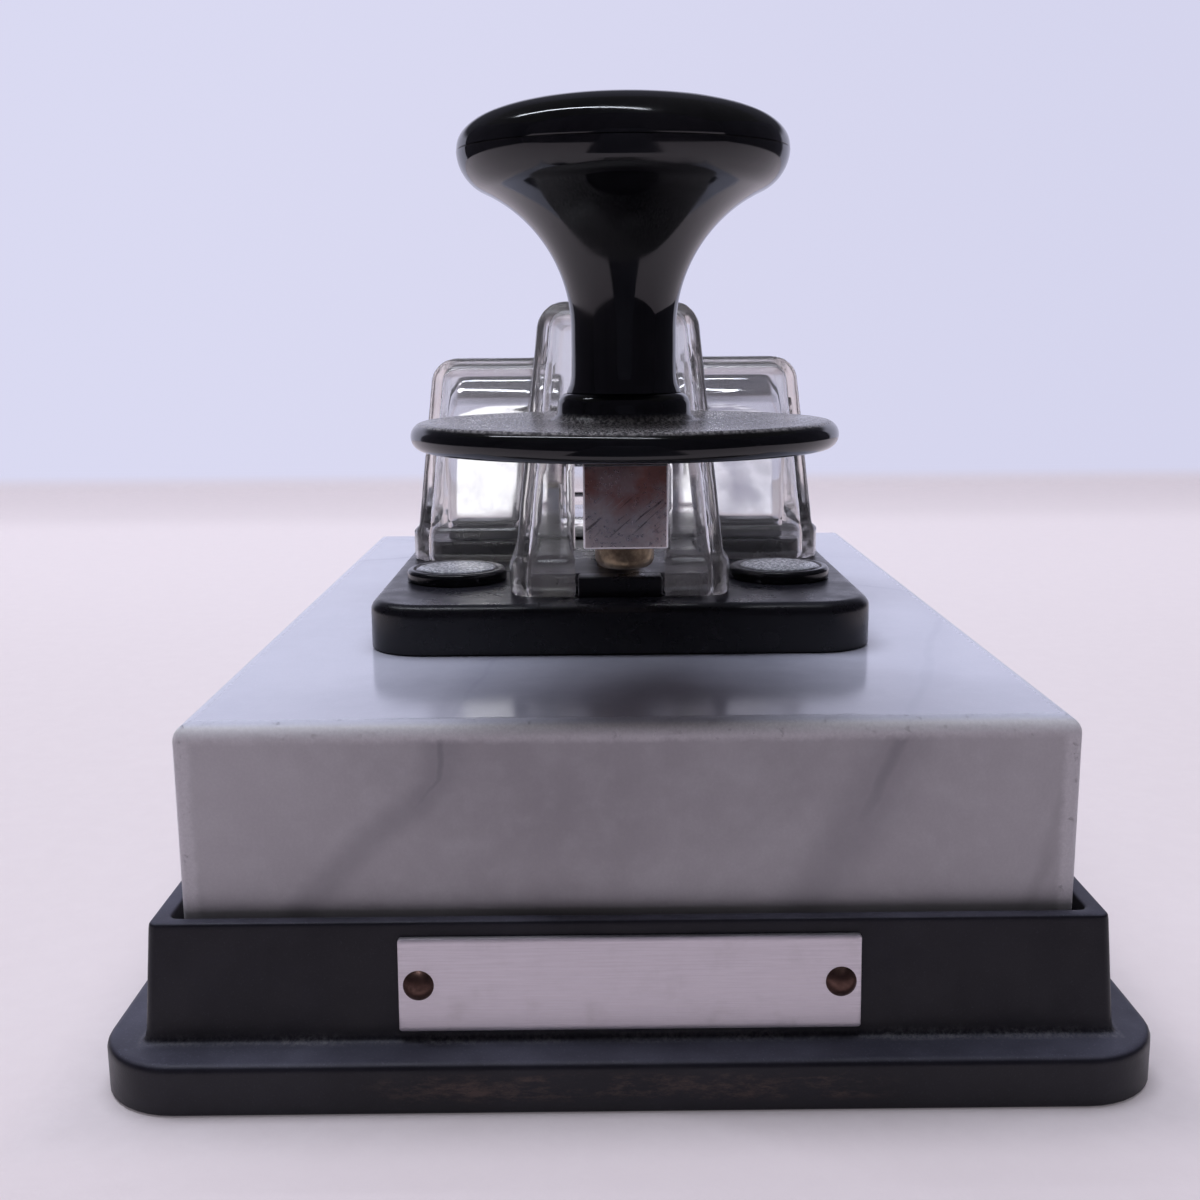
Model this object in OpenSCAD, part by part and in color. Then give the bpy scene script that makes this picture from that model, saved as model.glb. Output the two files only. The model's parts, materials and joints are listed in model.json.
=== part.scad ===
// Straight telegraph key: a sprung lever under a clear cover, on a marble block set in a tray.
// Lengths are millimetres. X runs to the right, Y away from the operator and Z up from the table.

/* [Marble] */
// Width of the marble block
marble_w = 85; // [78:0.5:92]
// Length of the marble block
marble_l = 128; // [120:1:138]
// Thickness of the marble block
marble_t = 27; // [22:0.5:32]
// Radius of the marble's upright corners
marble_r = 1.9; // [1.8:0.1:3]
// Radius of the marble's softened top edge
marble_edge = 1.7; // [0.6:0.1:1.7]

/* [Tray] */
// Room between the marble and the tray wall
marble_room = 0.9; // [0.4:0.1:1.2]
// Thickness of the tray wall at its rim
rim_t = 1.5; // [1.2:0.1:2.4]
// How far the tray wall leans out towards its foot
wall_lean = 0.75; // [0.3:0.05:1.2]
// Corner radius of the tray wall
wall_r = 2.4; // [1.5:0.1:4]
// Depth of the marble's pocket
pocket_d = 8.5; // [6:0.5:12]
// Height from the tray's underside to the pocket's floor
tray_base_h = 7.5; // [7:0.1:9]
// Thickness of the pocket's floor
tray_floor = 3.2; // [2.8:0.1:4]
// How far the foot flange stands out from the wall
flange_out = 4.5; // [3.6:0.1:6]
// Height of the foot flange
flange_h = 4.4; // [3.8:0.1:5.2]
// Corner radius of the foot flange
flange_r = 8; // [6:0.5:11]
// Radius of the flange's top edge
flange_edge = 0.8; // [0.4:0.1:1.4]
// Thickness of the flange's outer skin
flange_skin = 3; // [2.4:0.1:3.6]
// Width of the ledge that the rubber sheet is glued to
pad_ledge = 2; // [1.5:0.1:3]
// Thickness of the ribs under the tray
rib_t = 2; // [1.5:0.1:3]
// Distance of the cross ribs from the middle one
rib_step = 52; // [46:1:56]

/* [Rubber sheet] */
// Thickness of the rubber sheet
pad_t = 1.6; // [1.2:0.1:2.2]
// How far the rubber sheet stands proud of the tray
pad_drop = 0.6; // [0.4:0.1:1]
// Room round the rubber sheet
pad_room = 0.3; // [0.2:0.1:0.6]

/* [Nameplate] */
// Width of the nameplate
plate_w = 43.4; // [36:0.2:50]
// Height of the nameplate
plate_h = 8.8; // [7:0.1:9.6]
// Thickness of the nameplate
plate_t = 0.6; // [0.4:0.1:1]
// Height of the nameplate's middle above the flange
plate_up = 5.5; // [5:0.1:6.2]
// Distance of each rivet from the nameplate's end
rivet_in = 1.9; // [1.8:0.1:4]
// Radius of the rivet heads
rivet_head_r = 1.45; // [1.2:0.05:1.7]
// Height of the rivet heads
rivet_head_h = 0.8; // [0.5:0.05:1.1]
// Radius of the rivet shanks
rivet_r = 0.8; // [0.6:0.05:1]
// Length of the rivet shanks inside the tray wall
rivet_grip = 1.5; // [1:0.1:1.6]

/* [Sub-base] */
// How far the sub-base stands out beyond the cover's wings on each side
deck_side = 1.45; // [1:0.05:4]
// Distance from the pivot to the sub-base's front
deck_front = 43.5; // [42:0.5:50]
// Distance from the pivot to the sub-base's rear
deck_rear = 49; // [47:0.5:54]
// Height of the sub-base
deck_h = 5.75; // [5.5:0.05:7]
// Corner radius of the sub-base
deck_r = 6.5; // [4:0.5:9]
// Radius of the sub-base's top edge
deck_edge = 1.3; // [0.6:0.1:1.8]
// Height of the raised platform inside the cover
plat_h = 2.4; // [2:0.1:3]
// Room between the platform and the cover
plat_room = 0.3; // [0.2:0.05:0.6]
// Depth of the grooves under the sub-base
groove_d = 3.2; // [3:0.05:3.4]

/* [Clamp screws] */
// Sideways distance of the clamp screws from the middle
screw_x = 20; // [19.6:0.1:20.6]
// Distance of the clamp screws in front of and behind the pivot
screw_arm = 25.4; // [24.8:0.1:26.5]
// Radius of the clamp screws
screw_r = 2; // [1.8:0.05:2.2]
// Radius of the clamp screw heads
screw_head_r = 4.2; // [3.8:0.1:4.4]
// Height of the clamp screw heads
screw_head_h = 3.2; // [2.6:0.1:3.4]
// Depth of the counterbore for the clamp screw heads
screw_sink = 4.2; // [4:0.1:4.4]
// Width across the flats of the clamp nuts
nut_flats = 7; // [6.4:0.1:7.4]
// Height of the clamp nuts
nut_h = 3.2; // [2.6:0.1:3.4]
// Radius of the clamp washers
washer_r = 4.5; // [4.2:0.1:4.7]
// Thickness of the clamp washers
washer_t = 0.8; // [0.6:0.1:1]
// Depth of the recess for each clamp nut above the tray's cavity
nut_sink = 1.7; // [1.5:0.1:1.9]
// Radius of the screw caps
cap_r = 6.15; // [5.6:0.05:6.5]
// Height of the screw caps' rims
cap_h = 1.5; // [0.9:0.05:1.8]
// Height of the screw caps' domes
cap_dome = 0.5; // [0.3:0.05:1]
// Depth of the plug under each screw cap
cap_plug = 0.7; // [0.4:0.1:0.8]

/* [Cover] */
// Distance from the pivot to the front of the cover's foot
cover_front = 38.8; // [38.4:0.1:39.4]
// Width of the hump at its foot
hump_w = 25.8; // [24.6:0.1:26.4]
// Height of the hump above the sub-base
hump_h = 33.2; // [31:0.2:38]
// Room between the bearing caps and the wings' inner walls at their feet
wing_room = 1.95; // [1.8:0.05:4]
// Room between the yoke's top and the wings' end walls
wing_gap = 0.35; // [0.2:0.05:1]
// Height of the wings above the sub-base
wing_h = 26.9; // [26.2:0.1:29]
// Wall thickness of the cover
cover_t = 1.5; // [1.3:0.1:2]
// Slope of the cover's walls in degrees
cover_draft = 6; // [4.5:0.5:6.5]
// Radius of the cover's outer edges
cover_edge = 3; // [2.6:0.1:4]
// Least radius of the cover's inner edges
cover_soft = 0.6; // [0.4:0.1:1]
// Height of the foot band round the cover
foot_h = 4.2; // [3:0.1:5]
// How far the foot band stands out
foot_step = 0.8; // [0.4:0.1:1.2]
// Width of the front slot
slot_w = 10.3; // [9.4:0.1:11]
// Room above the lever in the front slot
slot_room = 2.7; // [1.5:0.1:4]
// Room behind the lever's tail
tail_room = 0.8; // [0.5:0.1:1.5]

/* [Lever] */
// Distance of the pivot behind the marble's middle
pivot_y = 7; // [5:0.5:8]
// Width of the lever
lever_w = 8; // [7:0.1:8.4]
// Height of the lever
lever_h = 8; // [7:0.1:9]
// Height of the lever's underside above the platform
lever_rise = 7.25; // [7:0.05:8]
// Bevel along the lever's edges
lever_bevel = 0.35; // [0.2:0.05:0.8]
// Distance from the pivot to the knob
knob_arm = 60.5; // [60.2:0.1:64]
// Distance from the pivot to the contacts
contact_arm = 30.5; // [29.5:0.1:31]
// Distance from the pivot to the tension screw
spring_arm = 18.5; // [18:0.1:19.5]
// Distance from the pivot to the gap screw
gap_arm = 25; // [24:0.1:26]
// Length of the lever in front of the knob's axis
lever_nose = 5.5; // [4.5:0.1:8]
// Length of the lever behind the gap screw
lever_tail = 4.5; // [3.5:0.1:6]

/* [Knob] */
// Radius of the knob's head
head_r = 15.5; // [14:0.1:17]
// Height of the knob's widest line above the collar
seam_h = 22.2; // [21:0.1:25]
// Height of the knob's crown above its widest line
crown_h = 4.5; // [4:0.1:7]
// Fullness of the crown, where 2 is an ellipse
crown_n = 2.4; // [2:0.1:3]
// Radius of the rounding below the widest line
brow_r = 4; // [3:0.1:4.6]
// Radius of the hollow between stem and head
cove_r = 13.9; // [13:0.1:16]
// Radius of the knob's stem
stem_r = 5; // [4.5:0.1:5.6]
// Radius of the threaded insert
insert_r = 2.9; // [2.5:0.1:3.2]
// Length of the threaded insert
insert_l = 14; // [10:0.5:16]
// Radius of the finger skirt
skirt_r = 20.6; // [18:0.1:20.9]
// Thickness of the finger skirt
skirt_t = 3; // [2.4:0.1:3.6]
// Height of the boss under the skirt
boss_h = 1.2; // [0.8:0.1:2]
// Height of the collar on the skirt
collar_h = 2.3; // [2:0.1:4]
// Radius of the collar and the boss
collar_r = 6.25; // [5.8:0.05:7.5]
// Radius of the fillet at the collar's foot
collar_fillet = 1; // [0.5:0.1:1.2]
// Radius of the collar's top edge
collar_edge = 0.7; // [0.3:0.1:0.8]
// Radius of the knob screw
knob_screw_r = 1.5; // [1.3:0.05:1.7]
// Radius of the knob screw's head
knob_screw_head_r = 2.9; // [2.5:0.05:3.4]
// Height of the knob screw's head
knob_screw_head_h = 2.2; // [1.8:0.1:2.6]
// Length of the knob screw inside the knob
knob_screw_in = 11; // [8:0.5:12]

/* [Bearing] */
// Radius of the trunnion shaft
shaft_r = 2; // [1.8:0.05:2.2]
// Outer radius of the ball bearings
bearing_r = 5; // [4.9:0.05:5.2]
// Width of the ball bearings
bearing_w = 4; // [3.4:0.1:4.4]
// Radius of the balls
ball_r = 0.8; // [0.7:0.02:0.84]
// Number of balls in each bearing
ball_count = 8; // [6:1:9]
// Gap between the two bearing rings
race_gap = 1.1; // [1:0.05:1.2]
// Clear width between the yoke's pillars
yoke_gap = 14; // [13:0.1:14.4]
// Width over the yoke
yoke_w = 44.6; // [42:0.1:46]
// Depth of the yoke along the lever
yoke_l = 15; // [14:0.1:16]
// Height of the pillars above the pivot
yoke_up = 10.3; // [9.6:0.1:10.4]
// Thickness of the yoke's bridge under the lever
yoke_floor = 3; // [2.4:0.1:4]
// Bevel on the pillars' outer top edges
yoke_bevel = 1.8; // [1.2:0.1:2.6]
// Thickness of the shoulder that stops each bearing
yoke_shoulder = 1.2; // [0.8:0.1:1.6]
// Radius of the bearing caps' threads
plug_r = 5.5; // [5.3:0.05:5.8]
// Radius of the bearing caps' heads
plug_head_r = 6.2; // [6:0.1:6.6]
// Thickness of the bearing caps' heads
plug_head_h = 0.9; // [0.8:0.1:1.2]
// Sideways distance of the yoke screws from the middle
yoke_screw_x = 13.75; // [13.4:0.05:14.2]
// Length of the yoke screws inside the yoke
yoke_screw_in = 4.5; // [3.5:0.1:5]

/* [Adjusters] */
// Radius of the tension and gap screws
adjust_r = 2; // [1.8:0.05:2.2]
// Radius of the knurled heads
adjust_head_r = 4.5; // [4:0.1:4.8]
// Height of the knurled heads
adjust_head_h = 4.5; // [3.6:0.1:5]
// Height of the lock nuts
lock_h = 2.6; // [2:0.1:3]
// Space between each head and its lock nut
adjust_rise = 1.4; // [1.1:0.1:2]
// Number of knurls round a head
knurl_count = 24; // [16:1:30]
// Depth of the knurls
knurl_d = 0.35; // [0.2:0.05:0.5]
// Radius of the gap anvil
anvil_r = 3; // [2.5:0.1:3.5]
// Height of the gap anvil
anvil_h = 2.95; // [2.4:0.05:3.6]
// Length of the stem below the gap anvil
anvil_stem = 4; // [3:0.1:4.6]

/* [Spring] */
// Mean radius of the spring's coils
coil_r = 2.9; // [2.7:0.05:3.1]
// Thickness of the spring's wire
wire_d = 0.8; // [0.7:0.02:0.84]
// Turns in the spring
coil_turns = 4; // [3:0.5:4.5]
// Thickness of the spring cup
cup_t = 1.2; // [1:0.1:1.4]
// Radius of the spring cup
cup_r = 3.9; // [3.6:0.1:4.1]
// Space between the lever and the spring cup
cup_gap = 0.7; // [0.5:0.1:0.9]
// Radius of the spring seat
seat_r = 4.3; // [4:0.05:4.4]
// Thickness of the spring seat
seat_t = 1; // [0.8:0.1:1.2]
// Height of the pegs inside the spring's ends
peg_h = 1.1; // [0.8:0.1:1.4]
// Room round the pegs inside the spring
peg_room = 0.6; // [0.4:0.05:0.8]
// Plastic left under the spring's recess
recess_floor = 2.5; // [2:0.1:3]

/* [Contacts] */
// Radius of the contact bodies
contact_r = 2.6; // [2.2:0.1:3]
// Radius of the silver tips
tip_r = 1.6; // [1.3:0.1:2]
// Height of each silver tip
tip_h = 0.8; // [0.6:0.1:1]
// Height of the upper contact's flange
upper_flange = 0.8; // [0.6:0.1:1]
// Height of the upper contact's riveted end
upper_rivet = 0.6; // [0.4:0.1:1]
// Opening between the contacts at rest
contact_gap = 0.62; // [0.6:0.02:0.9]
// Radius of the contact studs
stud_r = 1.5; // [1.3:0.05:1.7]

/* [Terminals] */
// Sideways distance of the terminals from the middle
term_x = 16; // [15.5:0.1:18]
// Distance of the terminals behind the pivot
term_arm = 41; // [40.6:0.1:42]
// Radius of the terminal studs
term_r = 2; // [1.8:0.05:2.2]
// Radius of the terminal studs' bare tips
term_tip_r = 1.8; // [1.5:0.05:1.9]
// Radius of the terminal collars
term_collar_r = 4.5; // [4:0.1:5]
// Height of the terminal collars
term_collar_h = 1.5; // [1:0.1:2]
// Radius of the terminal washers
term_washer_r = 4.6; // [4.2:0.1:5]
// Thickness of the terminal washers
term_washer_t = 0.8; // [0.6:0.1:1]
// Radius of the thumb nuts
thumb_r = 5; // [4.5:0.1:5.2]
// Height of the thumb nuts
thumb_h = 6; // [5:0.1:7]
// Length of bare stud above the thumb nuts
term_free = 4.75; // [4.2:0.05:6]
// Width of the connecting straps
strap_w = 4; // [3.4:0.1:4.4]
// Thickness of the connecting straps
strap_t = 0.6; // [0.5:0.05:0.8]
// Radius of the eyes at the straps' ends
eye_r = 3.4; // [3:0.1:3.6]
// Height of the nuts and screw heads under the sub-base
under_h = 2.2; // [1.8:0.05:2.3]
// Sideways place of the contact strap's long run
contact_run = 7; // [6.8:0.05:7.2]
// Sideways place of the frame strap's long run
frame_run = 10; // [9.4:0.1:10.6]

/* [Fits] */
// Radial clearance of pins, screws and rings in their holes
fit = 0.05; // [0.02:0.01:0.08]
// Gap between faces that rest on each other
seat_gap = 0.05; // [0.02:0.01:0.1]
// Extra radius of holes that a screw only passes through
pass = 0.3; // [0.2:0.05:0.4]
// Room round heads and nuts in their recesses
head_room = 0.4; // [0.3:0.05:0.5]
// Bevel on turned and knurled pieces
bevel = 0.4; // [0.2:0.05:0.6]
// Width of screwdriver slots
slit_w = 0.9; // [0.6:0.1:1.2]
// Depth of screwdriver slots
slit_d = 0.7; // [0.4:0.1:0.9]

/* [Hidden] */
round_fn = 64;
soft_fn = 32;
soft_steps = 5;
cut = 1;
skim = 0.01;

// heights, from the table up
tray_z = pad_drop;
ceiling_z = tray_z + tray_base_h - tray_floor;
pocket_z = tray_z + tray_base_h;
flange_z = tray_z + flange_h;
rim_z = pocket_z + pocket_d;
deck_z0 = pocket_z + marble_t;
deck_z = deck_z0 + deck_h;
plat_z = deck_z + plat_h;
lever_z0 = plat_z + lever_rise;
lever_z1 = lever_z0 + lever_h;
axis_z = lever_z0 + lever_h / 2;
groove_z = deck_z0 + groove_d;
under_z = groove_z - strap_t - under_h;

// plan of the base
wall_x = marble_w / 2 + marble_room + rim_t;
wall_y = marble_l / 2 + marble_room + rim_t;
flange_x = wall_x + wall_lean + flange_out;
flange_y = wall_y + wall_lean + flange_out;
pad_x = flange_x - flange_skin;
pad_y = flange_y - flange_skin;
hollow_x = pad_x - pad_ledge;
hollow_y = pad_y - pad_ledge;
pad_r = flange_r - flange_skin;
rib_x = screw_x + washer_r + head_room + rib_t;
lean_angle = atan(wall_lean / (rim_z - flange_z));
plate_y = wall_y + wall_lean - plate_up * tan(lean_angle);
rivet_x = plate_w / 2 - rivet_in;

// stations along the lever
knob_y = pivot_y - knob_arm;
contact_y = pivot_y - contact_arm;
spring_y = pivot_y - spring_arm;
gap_y = pivot_y + gap_arm;
term_y = pivot_y + term_arm;
nose_y = knob_y - lever_nose;
tail_y = gap_y + lever_tail;
lever_l = tail_y - nose_y;
screw_ys = [pivot_y - screw_arm, pivot_y + screw_arm];

// plan of the cover
foot_z = deck_z + foot_h;
hump_z = deck_z + hump_h;
wing_z = deck_z + wing_h;
slope = tan(cover_draft);
foot_t = cover_t + foot_step;
hump_y0 = pivot_y - cover_front;
hump_y1 = tail_y + tail_room + slope * (lever_z1 - foot_z) + foot_t;
wing_w = yoke_w + 2 * (plug_head_h + wing_room + foot_t);
wing_l = yoke_l + 2 * (wing_gap + foot_t + slope * (axis_z + yoke_up - yoke_l / 2 - foot_z));
deck_w = wing_w + 2 * deck_side;
wing_y0 = pivot_y - wing_l / 2;
wing_y1 = pivot_y + wing_l / 2;

// knob and skirt
skirt_z0 = lever_z1 + boss_h;
skirt_z1 = skirt_z0 + skirt_t;
knob_z = skirt_z1 + collar_h;
seam_z = knob_z + seam_h;
cove_x = stem_r + cove_r;
brow_x = head_r - brow_r;
cove_z = seam_z - sqrt(pow(cove_r + brow_r, 2) - pow(cove_x - brow_x, 2));
cove_end = atan2(seam_z - cove_z, brow_x - cove_x);

// bearing and yoke
yoke_z = plat_z;
yoke_x = yoke_w / 2;
pillar_x = yoke_gap / 2;
bearing_x0 = pillar_x + yoke_shoulder;
bearing_x1 = bearing_x0 + bearing_w;
inner_ring_r = (shaft_r + bearing_r - race_gap) / 2;
outer_ring_r = inner_ring_r + race_gap;
pitch_r = inner_ring_r + race_gap / 2;
shaft_x = bearing_x1;

// adjusters and spring
lock_z = lever_z1 + seat_gap;
adjust_z = lock_z + lock_h + adjust_rise;
cup_z1 = lever_z0 - cup_gap;
cup_z0 = cup_z1 - cup_t;
recess_z = deck_z0 + recess_floor;
spring_z0 = recess_z + seat_t;
spring_z1 = cup_z0;
peg_r = coil_r - wire_d / 2 - peg_room;
anvil_z = plat_z + anvil_h;
upper_tip_z = lever_z0 - upper_flange - tip_h;
lower_tip_z = upper_tip_z - contact_gap;

// terminals
term_z = deck_z + term_collar_h;
term_washer_z = term_z + seat_gap;
thumb_z = term_washer_z + term_washer_t + seat_gap;
contact_path = [[0, contact_y], [-contact_run, contact_y + contact_run],
  [-contact_run, term_y - contact_run - strap_w], [-term_x, term_y]];
frame_path = [[yoke_screw_x, pivot_y], [frame_run, pivot_y + frame_run],
  [frame_run, term_y - frame_run], [term_x, term_y]];

// points on an arc in the plane, from one angle to another
function arc(x, z, r, a0, a1, n) = [for (i = [0 : n])
  [x + r * cos(a0 + (a1 - a0) * i / n), z + r * sin(a0 + (a1 - a0) * i / n)]];

// a star outline with straight-sided knurls
function knurl_points(r) = [for (i = [0 : 2 * knurl_count - 1])
  let (q = i % 2 == 0 ? r : r - knurl_d, a = i * 180 / knurl_count)
  [q * cos(a), q * sin(a)]];

// unit direction of one leg of a path, and its mitred edge at one point
function leg(path, i) = (path[i + 1] - path[i]) / norm(path[i + 1] - path[i]);
function left_of(v) = [-v[1], v[0]];
function mitre(path, i) = i == 0 ? left_of(leg(path, 0))
  : i == len(path) - 1 ? left_of(leg(path, i - 1))
  : let (a = left_of(leg(path, i - 1)), b = left_of(leg(path, i))) (a + b) / (1 + a * b);
function strip(path, w) = concat(
  [for (i = [0 : len(path) - 1]) path[i] + mitre(path, i) * w / 2],
  [for (i = [len(path) - 1 : -1 : 0]) path[i] - mitre(path, i) * w / 2]);

// the spring's wire, laid out flat: an upright end, a bend, the winding, a bend and an upright end
coil_rings = 8;
coil_sides = 6;
bend_steps = [0, 35, 70];
bend_end = bend_steps[len(bend_steps) - 1];
coil_run = 2 * PI * coil_r * coil_turns;
bend_s = wire_d * (1 - cos(bend_end));
bend_z = wire_d * (1 + sin(bend_end));
spring_l = spring_z1 - spring_z0;
climb = atan2(spring_l - 2 * bend_z, coil_run - 2 * bend_s);
coil_n = ceil(coil_rings * coil_turns);
coil_low = concat([[0, 0, 90]],
  [for (a = bend_steps) [wire_d * (1 - cos(a)), wire_d * (1 + sin(a)), 90 - a]]);
coil_mid = [for (i = [1 : coil_n - 1])
  [bend_s + (coil_run - 2 * bend_s) * i / coil_n, bend_z + (spring_l - 2 * bend_z) * i / coil_n, climb]];
coil_high = [for (i = [len(coil_low) - 1 : -1 : 0])
  [coil_run - coil_low[i][0], spring_l - coil_low[i][1], coil_low[i][2]]];
coil_path = concat(coil_low, coil_mid, coil_high);

function coil_angle(p) = p[0] / coil_r * 180 / PI;
function coil_centre(p) = [coil_r * cos(coil_angle(p)), coil_r * sin(coil_angle(p)), p[1]];
function coil_ring(p) = [for (k = [0 : coil_sides - 1])
  let (a = coil_angle(p), t = k * 360 / coil_sides, u = wire_d / 2 * cos(t), v = wire_d / 2 * sin(t))
  coil_centre(p) + u * [cos(a), sin(a), 0]
  + v * [sin(p[2]) * sin(a), -sin(p[2]) * cos(a), cos(p[2])]];
coil_points = [for (p = coil_path) each coil_ring(p)];
coil_last = len(coil_path) - 1;
coil_faces = concat(
  [for (i = [0 : coil_last - 1], k = [0 : coil_sides - 1], side = [0, 1])
    let (a = i * coil_sides + k, b = i * coil_sides + (k + 1) % coil_sides)
    side == 0 ? [a, a + coil_sides, b] : [b, a + coil_sides, b + coil_sides]],
  [for (k = [1 : coil_sides - 2]) [0, k, k + 1]],
  [for (k = [1 : coil_sides - 2])
    [coil_last * coil_sides, coil_last * coil_sides + k + 1, coil_last * coil_sides + k]]);
half_turn = coil_rings / 2;
coil_gap = min([for (i = [0 : coil_last - half_turn], j = [i + half_turn : coil_last])
  norm(coil_centre(coil_path[i]) - coil_centre(coil_path[j]))]) - wire_d;
echo("least gap between the spring's turns", coil_gap);

// a block with rounded upright corners and a rounded top edge
module soft_block(x, y0, y1, h, r, edge) {
  profile = concat([[0, 0], [r, 0]], arc(r - edge, h - edge, edge, 0, 90, soft_steps), [[0, h]]);
  hull()
    for (sx = [-1, 1], y = [y0 + r, y1 - r])
      translate([sx * (x - r), y, 0])
        rotate_extrude($fn = soft_fn)
          polygon(profile);
}

// a flat slab with rounded upright corners
module slab(x, y0, y1, h, r) {
  linear_extrude(h)
    hull()
      for (sx = [-1, 1], y = [y0 + r, y1 - r])
        translate([sx * (x - r), y])
          circle(r, $fn = soft_fn);
}

// a block with an upright foot from z0 to z1, walls that lean in above it, and a rounded top at z2
module leaning_block(x, y0, y1, z0, z1, z2, r) {
  top_z = z2 - r;
  inset = slope * (top_z - z1);
  hull() {
    for (sx = [-1, 1], y = [y0 + r, y1 - r])
      translate([sx * (x - r), y, z0])
        cylinder(r = r, h = z1 - z0, $fn = soft_fn);
    for (sx = [-1, 1], y = [y0 + inset + r, y1 - inset - r])
      translate([sx * (x - inset - r), y, top_z])
        sphere(r, $fn = soft_fn);
  }
}

// an upright cylinder with a bevel at each end
module pin(r, h, b) {
  rotate_extrude($fn = round_fn)
    polygon([[0, 0], [r - b, 0], [r, b], [r, h - b], [r - b, h], [0, h]]);
}

// an upright hole, cut a little past both its ends
module hole(r, z0, z1) {
  translate([0, 0, z0 - cut])
    cylinder(r = r, h = z1 - z0 + 2 * cut, $fn = round_fn);
}

// a hole that stops at z1
module blind(r, z0, z1) {
  translate([0, 0, z0 - cut])
    cylinder(r = r, h = z1 - z0 + cut, $fn = round_fn);
}

// a hexagonal nut with its hole
module hex_nut(flats, h, r) {
  difference() {
    cylinder(r = flats / sqrt(3), h = h, $fn = 6);
    hole(r, 0, h);
  }
}

// a knurled disc, bevelled at both ends
module knurled(r, h) {
  e = bevel / 4;
  b = knurl_d + e;
  intersection() {
    translate([0, 0, -cut])
      linear_extrude(h + 2 * cut)
        polygon(knurl_points(r));
    rotate_extrude($fn = round_fn)
      polygon([[0, 0], [r - b, 0], [r + e, b + e], [r + e, h - b - e], [r - b, h], [0, h]]);
  }
}

module clamp_places() {
  for (sx = [-1, 1], y = screw_ys)
    translate([sx * screw_x, y, 0])
      children();
}

module on_plate() {
  translate([0, -plate_y, flange_z + plate_up])
    rotate([-lean_angle, 0, 0])
      children();
}

module rivet_places() {
  on_plate()
    for (sx = [-1, 1])
      translate([sx * rivet_x, 0, 0])
        rotate([90, 0, 0])
          children();
}

module non_slip_pad() {
  color("dimgray")
    slab(pad_x - pad_room, pad_room - pad_y, pad_y - pad_room, pad_t, pad_r - pad_room);
}

module tray_shell() {
  translate([0, 0, tray_z])
    soft_block(flange_x, -flange_y, flange_y, flange_h, flange_r, flange_edge);
  foot_x = wall_x + wall_lean - wall_r;
  foot_y = wall_y + wall_lean - wall_r;
  hull() {
    for (sx = [-1, 1], sy = [-1, 1])
      translate([sx * foot_x, sy * foot_y, tray_z + flange_edge])
        cylinder(r = wall_r, h = flange_h - flange_edge, $fn = soft_fn);
    for (sx = [-1, 1], sy = [-1, 1])
      translate([sx * (wall_x - wall_r), sy * (wall_y - wall_r), rim_z - skim])
        cylinder(r = wall_r, h = skim, $fn = soft_fn);
  }
}

module tray() {
  pocket_x = marble_w / 2 + marble_room;
  pocket_y = marble_l / 2 + marble_room;
  pad_top = pad_t;
  color("black") {
    difference() {
      tray_shell();
      translate([-pocket_x, -pocket_y, pocket_z])
        cube([2 * pocket_x, 2 * pocket_y, pocket_d + cut]);
      translate([0, 0, tray_z - cut])
        slab(pad_x, -pad_y, pad_y, pad_top - tray_z + cut, pad_r);
      translate([0, 0, tray_z])
        slab(hollow_x, -hollow_y, hollow_y, ceiling_z - tray_z, pad_r - pad_ledge);
      clamp_places() {
        hole(screw_r + pass, ceiling_z, pocket_z);
        blind(washer_r + head_room, ceiling_z, ceiling_z + nut_sink);
      }
      rivet_places()
        hole(rivet_r + fit, -rivet_grip - plate_t, plate_t);
    }
    for (x = [-rib_x, 0, rib_x])
      translate([x - rib_t / 2, -hollow_y - skim, pad_top])
        cube([rib_t, 2 * (hollow_y + skim), ceiling_z + skim - pad_top]);
    for (y = [-rib_step, 0, rib_step])
      translate([-hollow_x - skim, pivot_y + y - rib_t / 2, pad_top])
        cube([2 * (hollow_x + skim), rib_t, ceiling_z + skim - pad_top]);
  }
}

module marble_block() {
  color("gainsboro")
    difference() {
      translate([0, 0, pocket_z])
        soft_block(marble_w / 2, -marble_l / 2, marble_l / 2, marble_t, marble_r, marble_edge);
      clamp_places()
        hole(screw_r + pass, pocket_z, deck_z0);
    }
}

module nameplate() {
  color("silver")
    difference() {
      on_plate()
        translate([-plate_w / 2, -plate_t, -plate_h / 2])
          cube([plate_w, plate_t, plate_h]);
      rivet_places()
        hole(rivet_r + fit, 0, plate_t);
    }
}

module nameplate_rivets() {
  dome_r = (pow(rivet_head_r, 2) + pow(rivet_head_h, 2)) / (2 * rivet_head_h);
  dome_a = asin(rivet_head_r / dome_r);
  color("saddlebrown")
    rivet_places()
      rotate_extrude($fn = round_fn)
        polygon(concat([[0, -rivet_grip], [rivet_r, -rivet_grip], [rivet_r, plate_t]],
          arc(0, plate_t + rivet_head_h - dome_r, dome_r, 90 - dome_a, 90, soft_steps)));
}

module platform() {
  inner = foot_t + plat_room;
  r = cover_edge - min(cover_t, cover_edge - cover_soft);
  tongue_x = slot_w / 2 - plat_room;
  h = plat_h + skim;
  translate([0, 0, deck_z - skim]) {
    slab(hump_w / 2 - inner, hump_y0 + inner, hump_y1 - inner, h, r);
    slab(wing_w / 2 - inner, wing_y0 + inner, wing_y1 - inner, h, r);
    translate([-tongue_x, hump_y0, 0])
      cube([2 * tongue_x, inner + cut, h]);
  }
}

module groove(path) {
  translate([0, 0, deck_z0 - cut])
    linear_extrude(groove_d + cut)
      polygon(strip(path, strap_w + 2 * head_room));
}

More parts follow.
